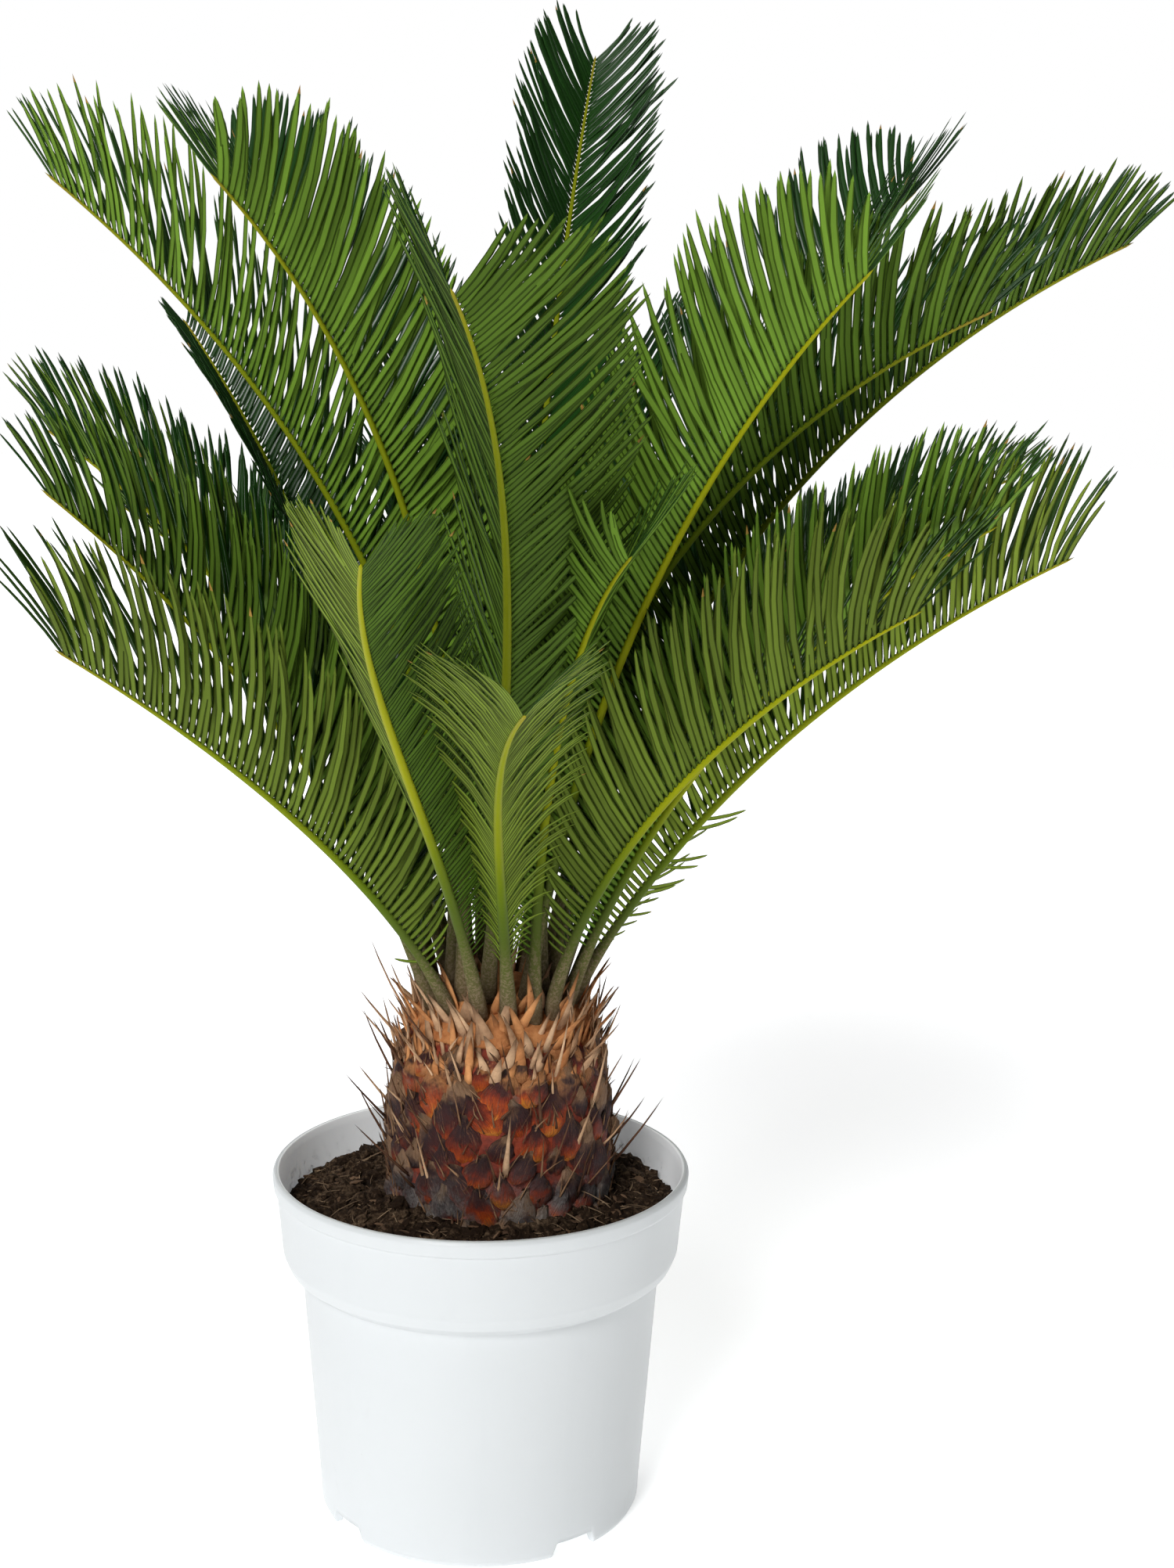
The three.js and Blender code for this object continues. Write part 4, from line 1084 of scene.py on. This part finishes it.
def pointOn(line, share):
    place = min(max(share, 0), 1) * (len(line) - 1)
    k = min(int(place), len(line) - 2)
    return line[k].lerp(line[k + 1], place - k)


def ribMaterial():
    material, graph, place = patterned("leaf rib", (0.14, 0.22, 0.03), 0.5, 0.07)
    share = graph.axis(graph.uvMap("rib"), "Y")
    speck = graph.noise(place, 700, 3, 0.7)
    cloud = graph.noise(place, 60, 3, 0.6)
    green = graph.tones(share + (cloud - 0.5) * 0.05, [
        (0.0, (0.14, 0.10, 0.052)), (0.05, (0.115, 0.108, 0.040)), (0.13, (0.088, 0.118, 0.020)),
        (0.3, (0.080, 0.150, 0.007)), (0.75, (0.13, 0.20, 0.008)), (0.95, (0.22, 0.22, 0.012)),
        (1.0, (0.30, 0.19, 0.04))])
    gold = graph.blend(share.within(0.16, 0.5), green, (0.33, 0.34, 0.004))
    tone = graph.blend(graph.attribute("ripe") * 0.95, green, gold)
    felted = (1 - share.within(0.06, 0.17)) * speck.within(0.45, 0.6)
    tone = graph.blend(felted * 0.7, tone, (0.24, 0.18, 0.11))
    graph.feed(Base_Color=tone, Roughness=0.52 + (1 - share.within(0.08, 0.2)) * 0.3,
               Normal=graph.bump(speck, 0.35, 0.0004))
    return material


# one rib: a rounded back, a flat top with a shallow groove at each side for the leaflets
def ribParts(plan, line, number, count):
    section = [(0, 0.75), (0.45, 0.95), (0.80, 0.62), (0.86, 0.30), (1, -0.05), (0.82, -0.62), (0.45, -0.95)]
    section += [(0, -1.05)] + [(-x, y) for x, y in section[:0:-1]]
    shares = [*np.linspace(0, petioleShare, 14), *np.linspace(petioleShare, 1, 58)[1:]]
    points, faces, uvs, ripe = [], [], [], []
    sides = len(section)
    for share in shares:
        along, across, above = frameAt(plan, share)
        centre = pointOn(line, share) - (along * 0.007 if share == 0 else Vector())
        wide = ramp(ribWide, share) / 1000
        high = ramp(ribHigh, share) / 1000
        for x, y in section:
            points.append(centre + across * x * wide + above * y * high)
            ripe.append(plan["ripe"])
    for k in range(len(shares) - 1):
        for i in range(sides):
            j = (i + 1) % sides
            a, b = k * sides, (k + 1) * sides
            faces.append((a + i, a + j, b + j, b + i))
            u = [(number + (i + s) / sides) / count for s in (0, 1, 1, 0)]
            uvs += [(u[0], shares[k]), (u[1], shares[k]), (u[2], shares[k + 1]), (u[3], shares[k + 1])]
    apex = len(points)
    along = frameAt(plan, 1)[0]
    points.append(line[-1] + along * 0.004)
    ripe.append(plan["ripe"])
    top = (len(shares) - 1) * sides
    for i in range(sides):
        faces.append((top + i, top + (i + 1) % sides, apex))
        uvs += [(number / count, 1)] * 3
    faces.append(tuple(range(sides))[::-1])
    uvs += [(number / count, 0)] * sides
    return points, faces, uvs, ripe


def makeRibs(lines):
    points, faces, uvs, ripe = [], [], [], []
    for number, (name, plan) in enumerate(frondPlan.items()):
        p, f, u, r = ribParts(plan, lines[name], number, len(frondPlan))
        faces += [tuple(i + len(points) for i in face) for face in f]
        points += p
        uvs += u
        ripe += r
    piece = newObject("frond_ribs", points, faces, [ribMaterial()])
    layer = piece.data.uv_layers.new(name="rib")
    layer.data.foreach_set("uv", np.array(uvs, float).ravel())
    storeOn(piece.data, "ripe", "FLOAT", ripe)
    finishPiece(piece, "leaf", *["frond_" + name for name in frondPlan])


# leaflet of unit length along Y: rolled edges, a groove above, a keel and two channels below
def leafletShape(name, materials):
    half = leaf["halfWidth"]
    across = [(-1.0, -0.20), (-0.62, 0.17), (0, 0.05), (0.62, 0.17), (1.0, -0.20), (0.60, -0.06),
              (0, -0.27), (-0.60, -0.06)]
    stations = [(0.0, 0.52), (0.06, 0.88), (0.30, 1.0), (0.60, 0.98), (0.83, 0.82), (0.945, 0.48)]
    points, faces, kinds, reach = [], [], [], []
    for share, wide in stations:
        for x, z in across:
            points.append((x * half * wide, share, z * half * (0.5 + 0.5 * wide)))
            reach.append(share)
    points.append((0, 1, 0))
    reach.append(1)
    for k in range(len(stations) - 1):
        for i in range(8):
            j = (i + 1) % 8
            a, b = k * 8, k * 8 + 8
            faces.append((a + i, a + j, b + j, b + i)[::-1])
            # faces 4 and 7 run from the edges into the channels and take the darker groove material, painted
            # shade
            kinds.append(0 if i < 4 else (2 if i in (4, 7) else 1))
    top = (len(stations) - 1) * 8
    for i in range(8):
        faces.append((top + i, len(points) - 1, top + (i + 1) % 8))
        kinds.append(0 if i < 4 else 1)
    faces.append(tuple(range(8)))
    kinds.append(1)
    shape = newObject(name, points, faces, materials)
    shape.data.polygons.foreach_set("material_index", kinds)
    storeOn(shape.data, "reach", "FLOAT", reach)
    return shape


def leafletMaterials(family, tint):
    amount = leaf["tints"][tint]
    made = []
    face, back = leaf["tones"][family]
    # the groove part is the back tone darkened, painted shade in the channels under the rolled edges
    for part, tone, share, roughness, shine in (("face", face, 1, 0.32, 0.4), ("back", back, 1, 0.6, 0.09),
                                                ("groove", back, leaf["groove"], 0.6, 0.06)):
        colour = tuple(c * (amount * share) for c in tone)
        made.append(newMaterial(f"leaflet {part} {family} {tint}", colour, roughness, shine)[0])
    return made


# place, turn, size and bend of one leaflet at a share of the rib, side 1 or -1
def leafletSpot(plan, line, share, side, spread):
    along, across, above = frameAt(plan, share)
    forward = ramp(forwardAt, share) + spread.gauss(0, leaf["angleSpread"])
    forward = math.radians(forward + plan["forward"] + plan["tipForward"] * share ** 4) + plan["curl"]
    fold = ramp(foldAt, share) + spread.gauss(0, leaf["angleSpread"])
    stray = (side == plan["straySide"] and share < plan["strayTo"]
             and spread.random() < (1 if share < 0.25 else 0.35))
    if stray:
        fold = spread.uniform(-45, -5)  # low leaflets that hang out beside the rib
    fold = math.radians(fold + plan["fold"] + plan["tipFold"] * share ** 2)
    level = across * math.cos(fold) * side + above * math.sin(fold)
    aim = along * math.cos(forward) + level * math.sin(forward)
    facing = above * math.cos(fold) - across * math.sin(fold) * side
    ahead = along * math.sin(forward) - level * math.cos(forward)
    twist = math.radians(leaf["twist"])
    facing = facing * math.cos(twist) - ahead * math.sin(twist)
    length = plan["leaflet"] / 1000 * ramp(reachAt, share)
    length *= 1 + (plan["tipLength"] - 1) * share ** 2
    length *= 1 + (plan["footLength"] - 1) * (1 - share) ** 2
    length *= 1 + spread.uniform(-1, 1) * leaf["lengthSpread"]
    if stray:
        length = min(length, 0.026) * spread.uniform(0.7, 1.1)
    width = spread.uniform(0.88, 1.08) * min(1, 0.25 + 0.75 * length / 0.045) * plan["slim"]
    droop = Vector((0, 0, plan["droop"] * (1 - 0.5 * share)))
    root = pointOn(line, share) + across * side * ramp(ribWide, share) * 0.72 / 1000
    root += above * ramp(ribHigh, share) * 0.35 / 1000
    bend = ahead * (plan["curl"] + spread.uniform(-0.03, 0.05))
    bend += facing * (0.03 + spread.uniform(-0.03, 0.03)) - droop * 1.15
    colour = plan["colour"] if side > 0 else plan["farColour"] or plan["colour"]
    shape = list(leaf["tones"]).index(colour) * len(leaf["tints"]) + spread.choice((0, 1, 1, 2))
    return dict(place=root, turn=turnTo((aim + droop).normalized(), facing), size=(width, length, width),
                bend=bend * length, shape=shape, dry=1 if spread.random() < leaf["dryShare"] else 0)


def makeLeaflets(lines):
    shapes = []
    for family in leaf["tones"]:
        for tint in range(len(leaf["tints"])):
            shapes.append(leafletShape(f"leaflet {len(shapes)}", leafletMaterials(family, tint)))
    shapes = shapeCollection("leaflet shapes", shapes)
    dryTip = newMaterial("dry leaflet tip", leaf["dryTone"], 0.7, 0.2)[0]
    spread = random.Random(2024)
    for name, plan in frondPlan.items():
        count = round(plan["length"] / 1000 * (1 - leaf["first"]) / leaf["pitch"])
        spots = []
        for i in range(count):
            for side in (1, -1):
                share = leaf["first"] + (1 - leaf["first"]) * (i + 0.5 + 0.25 * side) / count
                spots.append(leafletSpot(plan, lines[name], min(share, 0.998), side, spread))
        piece = scatter("leaflets_" + name, spots, shapes, dryTip, {"Tip From": leaf["dryFrom"]})
        finishPiece(piece, "leaf", "frond_" + name)
    dropCollection(shapes)


lines = {name: ribLine(plan) for name, plan in frondPlan.items()}
makeRibs(lines)
print("ribs made")
makeLeaflets(lines)
print("leaflets made")
